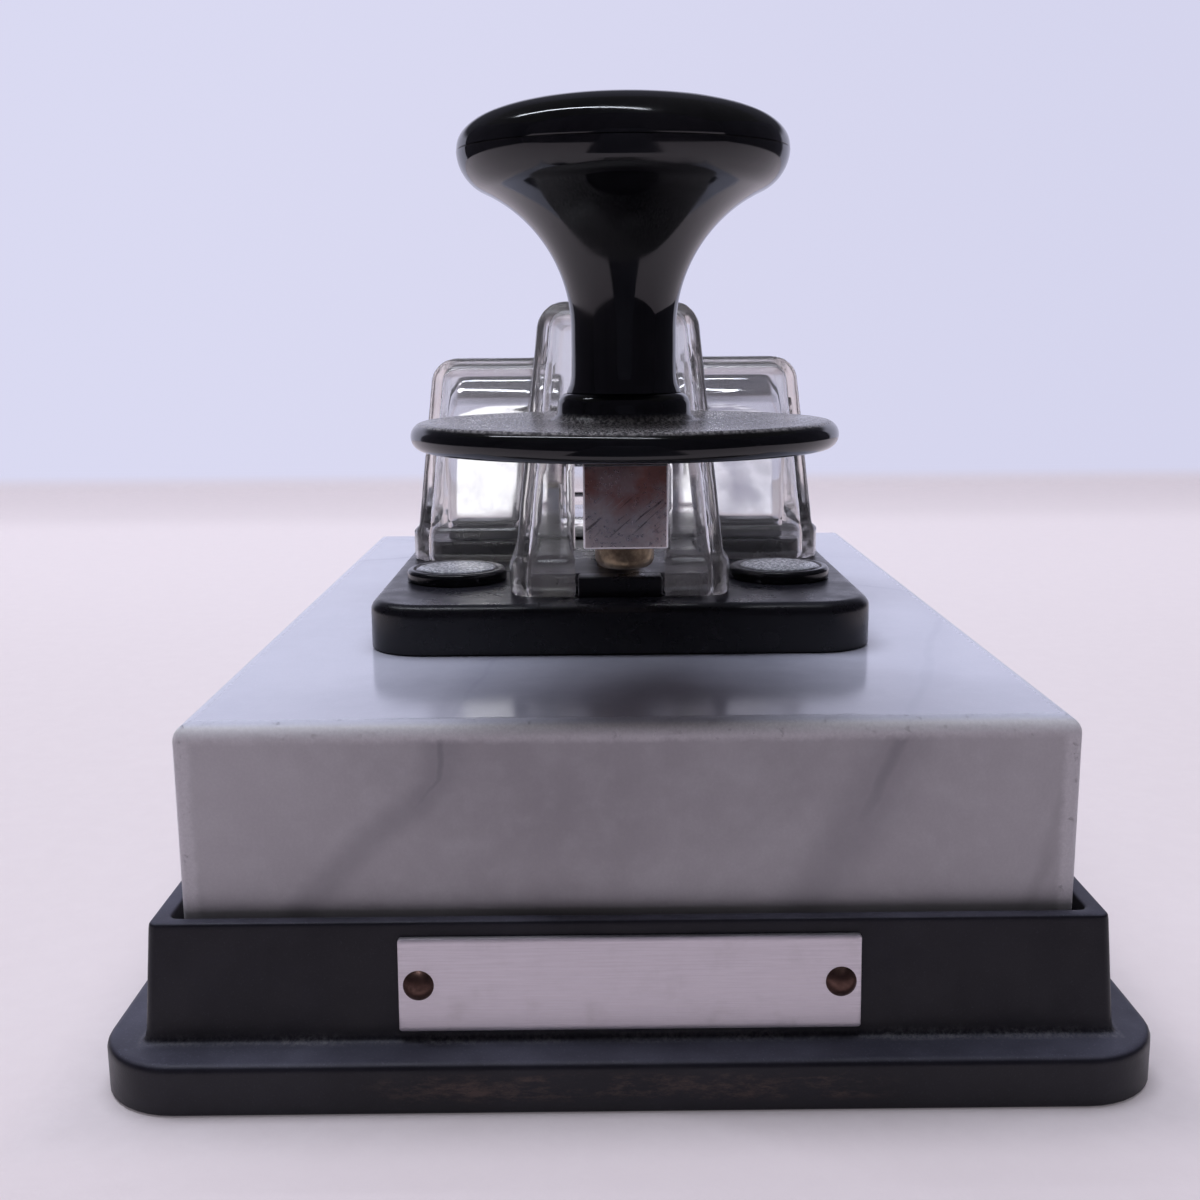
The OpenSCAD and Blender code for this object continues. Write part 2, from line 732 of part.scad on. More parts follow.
module sub_base() {
  eye_hole = eye_r + head_room;
  color("black")
    difference() {
      union() {
        translate([0, 0, deck_z0])
          soft_block(deck_w / 2, pivot_y - deck_front, pivot_y + deck_rear, deck_h, deck_r, deck_edge);
        platform();
      }
      clamp_places() {
        hole(screw_r + pass, deck_z0, deck_z);
        translate([0, 0, deck_z - screw_sink])
          cylinder(r = screw_head_r + head_room, h = screw_sink + cut, $fn = round_fn);
      }
      translate([0, spring_y, recess_z])
        cylinder(r = seat_r + pass, h = plat_z - recess_z + cut, $fn = round_fn);
      translate([0, contact_y, 0]) {
        hole(stud_r + fit, deck_z0, plat_z);
        blind(eye_hole, deck_z0, groove_z);
      }
      translate([0, gap_y, plat_z - anvil_stem])
        cylinder(r = stud_r + fit, h = anvil_stem + cut, $fn = round_fn);
      for (sx = [-1, 1])
        translate([sx * yoke_screw_x, pivot_y, 0]) {
          hole(screw_r + pass, deck_z0, plat_z);
          blind(eye_hole, deck_z0, groove_z);
        }
      for (sx = [-1, 1])
        translate([sx * term_x, term_y, 0]) {
          hole(term_r + fit, deck_z0, deck_z);
          blind(eye_hole, deck_z0, groove_z);
        }
      groove(contact_path);
      groove(frame_path);
    }
}

module clamp_screws() {
  head_z = deck_z - screw_sink;
  end_z = ceiling_z + nut_sink - washer_t - nut_h - bevel;
  color("dimgray")
    clamp_places()
      difference() {
        union() {
          translate([0, 0, head_z])
            cylinder(r = screw_head_r, h = screw_head_h, $fn = round_fn);
          translate([0, 0, end_z])
            cylinder(r = screw_r, h = head_z - end_z + skim, $fn = round_fn);
        }
        translate([-screw_head_r - cut, -slit_w / 2, head_z + screw_head_h - slit_d])
          cube([2 * (screw_head_r + cut), slit_w, slit_d + cut]);
      }
}

module clamp_washers() {
  color("silver")
    clamp_places()
      translate([0, 0, ceiling_z + nut_sink - washer_t])
        difference() {
          cylinder(r = washer_r, h = washer_t, $fn = round_fn);
          hole(screw_r + pass, 0, washer_t);
        }
}

module clamp_nuts() {
  color("silver")
    clamp_places()
      translate([0, 0, ceiling_z + nut_sink - washer_t - nut_h])
        hex_nut(nut_flats, nut_h, screw_r + fit);
}

module screw_caps() {
  dome_x = cap_r - bevel;
  dome_r = (pow(dome_x, 2) + pow(cap_dome, 2)) / (2 * cap_dome);
  dome_a = asin(dome_x / dome_r);
  plug = screw_head_r;
  color("black")
    clamp_places()
      translate([0, 0, deck_z])
        rotate_extrude($fn = round_fn)
          polygon(concat([[0, -cap_plug], [plug, -cap_plug], [plug, 0], [cap_r, 0], [cap_r, cap_h - bevel]],
            arc(0, cap_h + cap_dome - dome_r, dome_r, 90 - dome_a, 90, 2 * soft_steps)));
}

// the cover's two shapes, t inside its outer faces, with their feet starting at z0
module cover_walls(t, z0) {
  r = cover_edge - min(t, cover_edge - cover_soft);
  inner = foot_step + t;
  leaning_block(hump_w / 2 - inner, hump_y0 + inner, hump_y1 - inner, z0, foot_z, hump_z - t, r);
  leaning_block(wing_w / 2 - inner, wing_y0 + inner, wing_y1 - inner, z0, foot_z, wing_z - t, r);
}

module cover_foot() {
  r = cover_edge + foot_step;
  translate([0, 0, deck_z]) {
    slab(hump_w / 2, hump_y0, hump_y1, foot_h, r);
    slab(wing_w / 2, wing_y0, wing_y1, foot_h, r);
  }
}

module dust_cover() {
  slot_z = lever_z1 + slot_room;
  slot_depth = foot_t + slope * (slot_z - foot_z) + cut;
  color("lightcyan", 0.4)
    difference() {
      union() {
        cover_walls(0, deck_z + foot_h / 2);
        cover_foot();
      }
      cover_walls(cover_t, deck_z - cut);
      translate([-slot_w / 2, hump_y0 - cut, deck_z - cut])
        cube([slot_w, slot_depth + cut, slot_z - deck_z + cut]);
    }
}

module lever() {
  x = lever_w / 2;
  z = lever_h / 2;
  b = lever_bevel;
  section = [[b - x, -z], [x - b, -z], [x, b - z], [x, z - b],
    [x - b, z], [b - x, z], [-x, z - b], [-x, b - z]];
  color("lightgray")
    difference() {
      translate([0, tail_y, axis_z])
        rotate([90, 0, 0])
          linear_extrude(lever_l)
            polygon(section);
      translate([0, knob_y, 0])
        hole(knob_screw_r + fit, lever_z0, lever_z1);
      translate([0, contact_y, 0])
        hole(stud_r + fit, lever_z0, lever_z1);
      translate([0, spring_y, 0])
        hole(adjust_r + fit, lever_z0, lever_z1);
      translate([0, gap_y, 0])
        hole(adjust_r + fit, lever_z0, lever_z1);
      translate([0, pivot_y, axis_z]) {
        rotate([0, 90, 0])
          hole(shaft_r + fit, -x, x);
        cylinder(r = stud_r + fit, h = z + cut, $fn = round_fn);
      }
    }
}

module knob() {
  crown = [for (i = [0 : 2 * soft_steps])
    let (a = 90 * i / (2 * soft_steps))
    [head_r * pow(cos(a), 2 / crown_n), seam_z + crown_h * pow(sin(a), 2 / crown_n)]];
  profile = concat([[0, knob_z], [stem_r, knob_z]],
    arc(cove_x, cove_z, cove_r, 180, cove_end, 2 * soft_steps),
    [for (p = [1 : soft_steps - 1]) arc(brow_x, seam_z, brow_r, cove_end - 180, 0, soft_steps)[p]],
    crown);
  color("black")
    translate([0, knob_y, 0])
      difference() {
        rotate_extrude($fn = round_fn)
          polygon(profile);
        blind(insert_r + fit, knob_z, knob_z + insert_l + seat_gap);
      }
}

module knob_insert() {
  color("goldenrod")
    translate([0, knob_y, knob_z])
      difference() {
        cylinder(r = insert_r, h = insert_l, $fn = round_fn);
        blind(knob_screw_r + fit, 0, knob_screw_in + bevel);
      }
}

module knob_skirt() {
  bore = knob_screw_r + fit;
  nose = skirt_t / 2;
  fillet = collar_fillet;
  profile = concat([[bore, lever_z1], [collar_r, lever_z1], [collar_r, skirt_z0]],
    arc(skirt_r - nose, skirt_z0 + nose, nose, -90, 90, 2 * soft_steps),
    arc(collar_r + fillet, skirt_z1 + fillet, fillet, 270, 180, soft_steps),
    arc(collar_r - collar_edge, knob_z - collar_edge, collar_edge, 0, 90, soft_steps),
    [[bore, knob_z]]);
  color("black")
    translate([0, knob_y, 0])
      rotate_extrude($fn = round_fn)
        polygon(profile);
}

module knob_screw() {
  z0 = lever_z0 - knob_screw_head_h;
  color("darkgoldenrod")
    translate([0, knob_y, 0])
      difference() {
        union() {
          translate([0, 0, z0])
            rotate_extrude($fn = round_fn)
              polygon([[0, 0], [knob_screw_head_r - bevel, 0], [knob_screw_head_r, bevel],
                [knob_screw_head_r, knob_screw_head_h], [0, knob_screw_head_h]]);
          translate([0, 0, lever_z0 - skim])
            cylinder(r = knob_screw_r, h = knob_z + knob_screw_in - lever_z0 + skim, $fn = round_fn);
        }
        translate([-knob_screw_head_r - cut, -slit_w / 2, z0 - cut])
          cube([2 * (knob_screw_head_r + cut), slit_w, slit_d + cut]);
      }
}

module across(x0, x1) {
  translate([x0, pivot_y, axis_z])
    rotate([0, 90, 0])
      children();
}

module trunnion_shaft() {
  color("silver")
    across(-shaft_x, shaft_x)
      pin(shaft_r, 2 * shaft_x, bevel);
}

module trunnion_set_screw() {
  z0 = axis_z + shaft_r + seat_gap;
  h = lever_z1 - lever_bevel - z0;
  color("dimgray")
    translate([0, pivot_y, z0])
      difference() {
        cylinder(r = stud_r, h = h, $fn = round_fn);
        translate([-stud_r - cut, -slit_w / 2, h - slit_d])
          cube([2 * (stud_r + cut), slit_w, slit_d + cut]);
      }
}

module both_bearings() {
  for (s = [0, 1])
    mirror([s, 0, 0])
      across(bearing_x0, 0)
        children();
}

module race(r) {
  translate([0, 0, bearing_w / 2])
    rotate_extrude($fn = round_fn)
      translate([pitch_r, 0])
        circle(r, $fn = soft_fn);
}

module bearing_outer_rings() {
  color("silver")
    both_bearings()
      difference() {
        cylinder(r = bearing_r, h = bearing_w, $fn = round_fn);
        hole(outer_ring_r, 0, bearing_w);
        race(ball_r + fit);
      }
}

module bearing_inner_rings() {
  color("silver")
    both_bearings()
      difference() {
        cylinder(r = inner_ring_r, h = bearing_w, $fn = round_fn);
        hole(shaft_r + fit, 0, bearing_w);
        race(ball_r + fit);
      }
}

module bearing_balls() {
  color("gray")
    both_bearings()
      for (i = [0 : ball_count - 1])
        rotate([0, 0, i * 360 / ball_count])
          translate([pitch_r, 0, bearing_w / 2])
            sphere(ball_r, $fn = soft_fn);
}

// a pillar seen from the side: upright walls under a round top
module pillar_side(top) {
  r = yoke_l / 2;
  hull() {
    translate([-r, -cut])
      square([yoke_l, cut]);
    translate([0, top - r])
      circle(r, $fn = round_fn);
  }
}

module bearing_yoke() {
  top = axis_z + yoke_up - yoke_z;
  b = yoke_bevel;
  over = top + cut;
  section = [[-yoke_x, 0], [yoke_x, 0], [yoke_x, top - b], [yoke_x - b - cut, over], [pillar_x, over],
    [pillar_x, yoke_floor], [-pillar_x, yoke_floor], [-pillar_x, over],
    [b + cut - yoke_x, over], [-yoke_x, top - b]];
  color("whitesmoke")
    difference() {
      translate([0, pivot_y, yoke_z])
        intersection() {
          rotate([90, 0, 0])
            linear_extrude(yoke_l + 2 * cut, center = true)
              polygon(section);
          rotate([90, 0, 90])
            linear_extrude(yoke_w + 2 * cut, center = true)
              pillar_side(top);
        }
      for (s = [0, 1])
        mirror([s, 0, 0])
          across(0, 0) {
            blind(pitch_r, 0, bearing_x0 + cut);
            translate([0, 0, bearing_x0])
              cylinder(r = bearing_r + fit, h = bearing_w + cut, $fn = round_fn);
            translate([0, 0, bearing_x1])
              cylinder(r = plug_r + fit, h = yoke_x - bearing_x1 + cut, $fn = round_fn);
          }
      for (sx = [-1, 1])
        translate([sx * yoke_screw_x, pivot_y, 0])
          blind(screw_r + fit, yoke_z, yoke_z + yoke_screw_in + bevel);
    }
}

module bearing_caps() {
  l = yoke_x - bearing_x1 - seat_gap;
  color("silver")
    for (s = [0, 1])
      mirror([s, 0, 0])
        across(bearing_x1 + seat_gap, 0)
          difference() {
            union() {
              cylinder(r = plug_r, h = l + skim, $fn = round_fn);
              translate([0, 0, l])
                pin(plug_head_r, plug_head_h, bevel);
            }
            blind(outer_ring_r, 0, bevel);
            translate([-plug_head_r - cut, -slit_w / 2, l + plug_head_h - slit_d])
              cube([2 * (plug_head_r + cut), slit_w, slit_d + cut]);
          }
}

module yoke_screws() {
  color("silver")
    for (sx = [-1, 1])
      translate([sx * yoke_screw_x, pivot_y, under_z]) {
        cylinder(r = eye_r, h = under_h, $fn = round_fn);
        translate([0, 0, under_h - skim])
          cylinder(r = screw_r, h = yoke_z + yoke_screw_in - under_z - under_h + skim, $fn = round_fn);
      }
}

module yoke_washer() {
  color("silver")
    translate([-yoke_screw_x, pivot_y, groove_z - strap_t])
      difference() {
        cylinder(r = eye_r, h = strap_t, $fn = round_fn);
        hole(screw_r + fit, 0, strap_t);
      }
}

// an adjusting screw with a knurled head, reaching down to z0
module adjuster(y, z0) {
  color("silver")
    translate([0, y, 0])
      difference() {
        union() {
          translate([0, 0, z0])
            cylinder(r = adjust_r, h = adjust_z - z0 + skim, $fn = round_fn);
          translate([0, 0, adjust_z])
            knurled(adjust_head_r, adjust_head_h);
        }
        translate([-adjust_head_r - cut, -slit_w / 2, adjust_z + adjust_head_h - slit_d])
          cube([2 * (adjust_head_r + cut), slit_w, slit_d + cut]);
      }
}

module lock_nut(y) {
  color("silver")
    translate([0, y, lock_z])
      difference() {
        knurled(adjust_head_r, lock_h);
        hole(adjust_r + fit, 0, lock_h);
      }
}

module tension_screw() {
  adjuster(spring_y, cup_z1 + seat_gap);
}

module tension_lock_nut() {
  lock_nut(spring_y);
}

module spring_cup() {
  color("goldenrod")
    translate([0, spring_y, 0]) {
      translate([0, 0, cup_z0])
        cylinder(r = cup_r, h = cup_t, $fn = round_fn);
      translate([0, 0, cup_z0 - peg_h])
        cylinder(r = peg_r, h = peg_h + skim, $fn = round_fn);
    }
}

module tension_spring() {
  color("gray")
    translate([0, spring_y, spring_z0])
      polyhedron(points = coil_points, faces = coil_faces, convexity = 10);
}

module spring_seat() {
  color("goldenrod")
    translate([0, spring_y, recess_z]) {
      cylinder(r = seat_r, h = seat_t, $fn = round_fn);
      translate([0, 0, seat_t - skim])
        cylinder(r = peg_r, h = peg_h + skim, $fn = round_fn);
    }
}

module gap_screw() {
  adjuster(gap_y, anvil_z + seat_gap);
}

module gap_lock_nut() {
  lock_nut(gap_y);
}

module gap_anvil() {
  color("silver")
    translate([0, gap_y, 0]) {
      translate([0, 0, plat_z])
        rotate_extrude($fn = round_fn)
          polygon([[0, 0], [anvil_r, 0], [anvil_r, anvil_h - bevel],
            [anvil_r - bevel, anvil_h], [0, anvil_h]]);
      translate([0, 0, plat_z - anvil_stem])
        cylinder(r = stud_r, h = anvil_stem + skim, $fn = round_fn);
    }
}

module upper_contact() {
  z0 = lever_z0 - upper_flange;
  color("goldenrod")
    translate([0, contact_y, 0])
      rotate_extrude($fn = round_fn)
        polygon([[0, z0], [contact_r, z0], [contact_r, lever_z0], [stud_r, lever_z0], [stud_r, lever_z1],
          [contact_r, lever_z1], [contact_r - bevel, lever_z1 + upper_rivet], [0, lever_z1 + upper_rivet]]);
}

module upper_contact_tip() {
  color("white")
    translate([0, contact_y, upper_tip_z])
      cylinder(r = tip_r, h = tip_h, $fn = round_fn);
}

module lower_contact() {
  z1 = lower_tip_z - tip_h;
  color("goldenrod")
    translate([0, contact_y, 0]) {
      translate([0, 0, plat_z])
        cylinder(r = contact_r, h = z1 - plat_z, $fn = round_fn);
      translate([0, 0, under_z])
        cylinder(r = stud_r, h = plat_z - under_z + skim, $fn = round_fn);
    }
}

module lower_contact_tip() {
  color("white")
    translate([0, contact_y, lower_tip_z - tip_h])
      cylinder(r = tip_r, h = tip_h, $fn = round_fn);
}

module lower_contact_nut() {
  color("silver")
    translate([0, contact_y, under_z])
      hex_nut(eye_r * sqrt(3), under_h, stud_r + fit);
}

module terminal_places() {
  for (sx = [-1, 1])
    translate([sx * term_x, term_y, 0])
      children();
}

module terminal_studs() {
  tip_z = thumb_z + thumb_h;
  color("silver")
    terminal_places() {
      translate([0, 0, deck_z])
        cylinder(r = term_collar_r, h = term_collar_h, $fn = round_fn);
      translate([0, 0, under_z])
        cylinder(r = term_r, h = deck_z - under_z + skim, $fn = round_fn);
      translate([0, 0, term_z - skim])
        cylinder(r = term_r, h = tip_z - term_z + skim, $fn = round_fn);
      translate([0, 0, tip_z - skim])
        cylinder(r = term_tip_r, h = term_free + skim, $fn = round_fn);
    }
}

module terminal_base_nuts() {
  color("silver")
    terminal_places()
      translate([0, 0, under_z])
        hex_nut(eye_r * sqrt(3), under_h, term_r + fit);
}

module terminal_washer(side) {
  color("silver")
    translate([side * term_x, term_y, term_washer_z])
      difference() {
        cylinder(r = term_washer_r, h = term_washer_t, $fn = round_fn);
        hole(term_r + fit, 0, term_washer_t);
      }
}

module thumb_nut(side) {
  color("silver")
    translate([side * term_x, term_y, thumb_z])
      difference() {
        knurled(thumb_r, thumb_h);
        hole(term_r + fit, 0, thumb_h);
      }
}

module terminal_washer_left() {
  terminal_washer(-1);
}

module terminal_washer_right() {
  terminal_washer(1);
}

module terminal_nut_left() {
  thumb_nut(-1);
}

module terminal_nut_right() {
  thumb_nut(1);
}

// a flat strap along a path, with an eye at each end
module strap(path, r0, r1) {
  ends = [path[0], path[len(path) - 1]];
  color("goldenrod")
    translate([0, 0, groove_z - strap_t])
      difference() {
        union() {
          linear_extrude(strap_t)
            polygon(strip(path, strap_w));
          for (p = ends)
            translate([p[0], p[1], 0])
              cylinder(r = eye_r, h = strap_t, $fn = round_fn);
        }
        translate([ends[0][0], ends[0][1], 0])
          hole(r0 + fit, 0, strap_t);
        translate([ends[1][0], ends[1][1], 0])
          hole(r1 + fit, 0, strap_t);
      }
}

module contact_strap() {
  strap(contact_path, stud_r, term_r);
}

module frame_strap() {
  strap(frame_path, screw_r, term_r);
}

non_slip_pad();
tray();
marble_block();
nameplate();
nameplate_rivets();
sub_base();
clamp_screws();
clamp_washers();
clamp_nuts();
screw_caps();
dust_cover();
lever();
knob();
knob_insert();
knob_skirt();
knob_screw();
trunnion_shaft();
trunnion_set_screw();
bearing_outer_rings();
bearing_inner_rings();
bearing_balls();
bearing_yoke();
bearing_caps();
yoke_screws();
yoke_washer();
tension_screw();
tension_lock_nut();
spring_cup();
tension_spring();
spring_seat();
gap_screw();
gap_lock_nut();
gap_anvil();
upper_contact();
upper_contact_tip();
lower_contact();
lower_contact_tip();
lower_contact_nut();
terminal_studs();
terminal_base_nuts();
terminal_washer_left();
terminal_washer_right();
terminal_nut_left();
terminal_nut_right();
contact_strap();
frame_strap();
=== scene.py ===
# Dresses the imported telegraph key: smooth pieces, procedural materials, a pale studio and the camera.
import json
import math

import bmesh
import bpy
import numpy as np
from mathutils import Matrix, Vector


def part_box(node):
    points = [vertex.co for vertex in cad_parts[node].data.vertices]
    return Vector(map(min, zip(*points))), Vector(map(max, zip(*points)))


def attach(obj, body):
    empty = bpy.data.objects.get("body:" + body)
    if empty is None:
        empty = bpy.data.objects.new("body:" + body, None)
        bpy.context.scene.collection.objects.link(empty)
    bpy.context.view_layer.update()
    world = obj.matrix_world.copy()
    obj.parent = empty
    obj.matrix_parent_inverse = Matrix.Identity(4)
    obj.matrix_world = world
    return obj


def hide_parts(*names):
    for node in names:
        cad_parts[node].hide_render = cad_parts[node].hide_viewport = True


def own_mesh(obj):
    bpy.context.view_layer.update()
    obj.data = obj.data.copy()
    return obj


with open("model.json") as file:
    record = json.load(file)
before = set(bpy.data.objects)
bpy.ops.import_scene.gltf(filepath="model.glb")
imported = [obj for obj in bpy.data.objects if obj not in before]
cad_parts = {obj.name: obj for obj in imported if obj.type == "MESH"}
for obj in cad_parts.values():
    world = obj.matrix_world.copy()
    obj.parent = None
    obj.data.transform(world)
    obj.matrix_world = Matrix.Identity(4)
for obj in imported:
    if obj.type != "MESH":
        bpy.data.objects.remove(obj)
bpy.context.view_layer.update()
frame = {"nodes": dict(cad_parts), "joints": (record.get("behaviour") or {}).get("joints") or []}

MM = 0.001
scene = bpy.context.scene
scene.view_settings.view_transform = "Standard"


# sizes and places from the frame, in millimetres

def extent(node):
    """A CAD node's lowest X, Y and Z at rest, and then its highest."""
    low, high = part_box(node)
    return [round(v / MM, 3) for v in (*low, *high)]


PAD_TOP = extent("non_slip_pad")[5]
PLATE_X = extent("nameplate")[3]
_, _, _, TRAY_X, TRAY_Y, RIM_Z = extent("tray")
_, _, POCKET_Z, MARBLE_X, MARBLE_Y, MARBLE_TOP = extent("marble_block")
_, DECK_Y0, _, DECK_X, DECK_Y1, PLAT_TOP = extent("sub_base")
_, HUMP_Y0, DECK_TOP, WING_X, HUMP_Y1, _ = extent("dust_cover")
_, LEVER_Y0, LEVER_Z0, LEVER_X, LEVER_Y1, LEVER_TOP = extent("lever")
_, knob_front, KNOB_Z, KNOB_R, knob_back, CROWN_Z = extent("knob")
_, spring_front, SPRING_Z0, _, spring_back, SPRING_Z1 = extent("tension_spring")
KNOB_Y, SPRING_Y = (knob_front + knob_back) / 2, (spring_front + spring_back) / 2
rock = next(joint for joint in frame["joints"] if joint["name"] == "lever_rock")
_, PIVOT_Y, AXIS_Z = [round(v / MM, 3) for v in rock["pos_m"]]

# the tray's flange and leaning wall
FLANGE_Z = 5.0
WALL_FOOT_X, WALL_FOOT_Y, WALL_LEAN = 45.9, 67.15, 0.75

# the marble's upright corners and top edge
MARBLE_CORNER, MARBLE_EDGE = 0.7, 1.7

# the knob's parting line, the skirt's two faces and the screws under the caps
SEAM_Z = 87.2
SKIRT_Z0, SKIRT_TOP = 59.7, 62.35
CLAMP_X, CLAMP_YS = 20.0, (-18.4, 32.4)


# shapes

def arc(cx, cz, r, start, end, steps):
    """Points on an arc, with angles in degrees."""
    turn = np.radians(np.linspace(start, end, steps + 1))
    return [(cx + r * math.cos(a), cz + r * math.sin(a)) for a in turn]


def dome(r, rise, base, steps, share=1.0):
    """The arc of a shallow dome from its rim to its top; share is how much of it is kept."""
    ball = (r ** 2 + rise ** 2) / (2 * rise)
    spread = math.degrees(math.asin(r / ball))
    points = arc(0, base + rise - ball, ball, 90 - spread * share, 90, steps)
    return points[:-1] + [(0.0, base + rise)]


def lathe(profile, sides=128, closed=False):
    """A turned shape from (radius, height) points; a radius of 0 closes an end."""
    verts, rings = [], []
    for r, z in profile:
        count = 1 if r < 1e-6 else sides
        rings.append(range(len(verts), len(verts) + count))
        for k in range(count):
            a = 2 * math.pi * k / sides
            verts.append((r * math.cos(a), r * math.sin(a), z))
    if closed:
        rings.append(rings[0])
    faces = []
    for low, high in zip(rings, rings[1:]):
        for k in range(sides):
            j = (k + 1) % sides
            corners = [low[k % len(low)], low[j % len(low)], high[j % len(high)], high[k % len(high)]]
            faces.append(list(dict.fromkeys(corners)))
    return verts, faces


def outline(hx, hy, r, z, cy=0.0, steps=10):
    """A rounded rectangle at height z."""
    points = []
    for i, (sx, sy) in enumerate(((1, 1), (-1, 1), (-1, -1), (1, -1))):
        for k in range(steps + 1):
            a = math.pi / 2 * (i + k / steps)
            points.append((sx * (hx - r) + r * math.cos(a), cy + sy * (hy - r) + r * math.sin(a), z))
    return points


def skin(count, n):
    """Faces between rings of n points each, with both ends capped."""
    faces = [[i * n + k, i * n + (k + 1) % n, (i + 1) * n + (k + 1) % n, (i + 1) * n + k]
             for i in range(count - 1) for k in range(n)]
    faces.append(list(range(n))[::-1])
    faces.append([(count - 1) * n + k for k in range(n)])
    return faces


def loft(rings):
    """Skins outlines of equal length and caps both ends."""
    return [p for ring in rings for p in ring], skin(len(rings), len(rings[0]))


def soft_block(hx, y0, y1, z0, z1, r, edge):
    """A block with rounded upright corners, a rounded top edge and a slightly eased foot."""
    foot, hold, least_r, least_inner_r = 0.2, 0.4, 0.2, 0.15
    cy, hy = (y0 + y1) / 2, (y1 - y0) / 2
    rings = [outline(hx - foot, hy - foot, r - foot, z0, cy), outline(hx, hy, r, z0 + foot, cy)]
    rings.append(outline(hx, hy, r, z1 - edge - hold, cy))
    for out, z in arc(-edge, z1 - edge, edge, 0, 90, 8):
        rings.append(outline(hx + out, hy + out, max(r + out, least_r), z, cy))
    inner = edge + hold
    rings.append(outline(hx - inner, hy - inner, max(r - inner, least_inner_r), z1, cy))
    return loft(rings)


def moved(shape, x=0.0, y=0.0, z=0.0):
    return [(a + x, b + y, c + z) for a, b, c in shape[0]], shape[1]


def joined(*shapes):
    verts, faces = [], []
    for points, polygons in shapes:
        faces += [[i + len(verts) for i in polygon] for polygon in polygons]
        verts += points
    return verts, faces


def bevelled(shape, width, segments=3):
    """The same shape with every sharp edge rounded."""
    sharp = math.radians(30)
    bm = bmesh.new()
    points = [bm.verts.new(p) for p in shape[0]]
    for face in shape[1]:
        bm.faces.new([points[i] for i in face])
    bmesh.ops.recalc_face_normals(bm, faces=bm.faces)
    edges = [e for e in bm.edges if e.calc_face_angle(0) > sharp]
    bmesh.ops.bevel(bm, geom=edges, offset=width, segments=segments, profile=0.5,
                    affect="EDGES", clamp_overlap=True)
    bm.verts.index_update()
    verts = [tuple(v.co) for v in bm.verts]
    faces = [[v.index for v in f.verts] for f in bm.faces]
    bm.free()
    return verts, faces


def box(x0, x1, y0, y1, z0, z1):
    verts = [(x, y, z) for z in (z0, z1) for y in (y0, y1) for x in (x0, x1)]
    faces = [[0, 2, 3, 1], [4, 5, 7, 6], [0, 1, 5, 4], [2, 6, 7, 3], [0, 4, 6, 2], [1, 3, 7, 5]]
    return verts, faces


def tube(path, radius, sides=14):
    """A round wire along a path, closed at both ends."""
    path = np.array(path, float)
    along = np.gradient(path, axis=0)
    along /= np.linalg.norm(along, axis=1)[:, None]
    verts = []
    for p, t in zip(path, along):
        u = np.cross(t, (0.0, 0.0, 1.0))
        u /= np.linalg.norm(u)
        v = np.cross(u, t)
        for k in range(sides):
            a = 2 * math.pi * k / sides
            verts.append(tuple(p + radius * (math.cos(a) * u + math.sin(a) * v)))
    return verts, skin(len(path), sides)


def add_piece(name, shape, material, body, replaces, place=None, sharp=35):
    """Makes a piece from a shape in millimetres; place moves it first, and edges over sharp degrees show."""
    mesh = bpy.data.meshes.new(name)
    mesh.from_pydata([(x * MM, y * MM, z * MM) for x, y, z in shape[0]], [], shape[1])
    if place is not None:
        mesh.transform(place)
    bm = bmesh.new()
    bm.from_mesh(mesh)
    bmesh.ops.recalc_face_normals(bm, faces=bm.faces)
    bm.to_mesh(mesh)
    bm.free()
    mesh.polygons.foreach_set("use_smooth", [True] * len(mesh.polygons))
    mesh.set_sharp_from_angle(angle=math.radians(sharp))
    mesh.materials.append(material)
    piece = bpy.data.objects.new(name, mesh)
    scene.collection.objects.link(piece)
    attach(piece, body)
    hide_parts(*replaces)
    return piece


# node trees

class Nodes:
    """The nodes of one tree; an input is a number, a colour or another node's output."""

    def __init__(self, tree):
        self.tree = tree

    def node(self, kind, inputs, **settings):
        node = self.tree.nodes.new("ShaderNode" + kind)
        for key, value in settings.items():
            setattr(node, key, value)
        for key, value in inputs.items():
            self.feed(node.inputs[key], value)
        return node

    def make(self, kind, inputs, output=0, **settings):
        """One output of a new node."""
        return self.node(kind, inputs, **settings).outputs[output]

    def feed(self, socket, value):
        if isinstance(value, bpy.types.NodeSocket):
            self.tree.links.new(value, socket)
        elif socket.type == "RGBA" and len(value) == 3:
            socket.default_value = (*value, 1.0)
        else:
            socket.default_value = value

    def split(self, vector):
        return self.node("SeparateXYZ", {"Vector": vector}).outputs

    def math(self, operation, a, b=0.0, clamp=False):
        return self.make("Math", {0: a, 1: b}, operation=operation, use_clamp=clamp)

    def fold(self, operation, first, *rest):
        for value in rest:
            first = self.math(operation, first, value)
        return first

    def times(self, *values):
        return self.fold("MULTIPLY", *values)

    def plus(self, *values):
        return self.fold("ADD", *values)

    def larger(self, *values):
        return self.fold("MAXIMUM", *values)

    def minus(self, a, b):
        return self.math("SUBTRACT", a, b)

    def size(self, a):
        return self.math("ABSOLUTE", a)

    def span(self, value, low, high, start=0.0, end=1.0):
        """Maps low to high onto start to end, smoothly and clamped."""
        inputs = {"Value": value, "From Min": low, "From Max": high, "To Min": start, "To Max": end}
        return self.make("MapRange", inputs, interpolation_type="SMOOTHSTEP")

    def fall(self, value, low, high):
        """1 up to low and 0 from high on, smoothly."""
        return self.span(value, low, high, 1.0, 0.0)

    def mix(self, fac, a, b):
        """Colour a where fac is 0, and b where it is 1."""
        return self.make("Mix", {0: fac, 6: a, 7: b}, 2, data_type="RGBA")


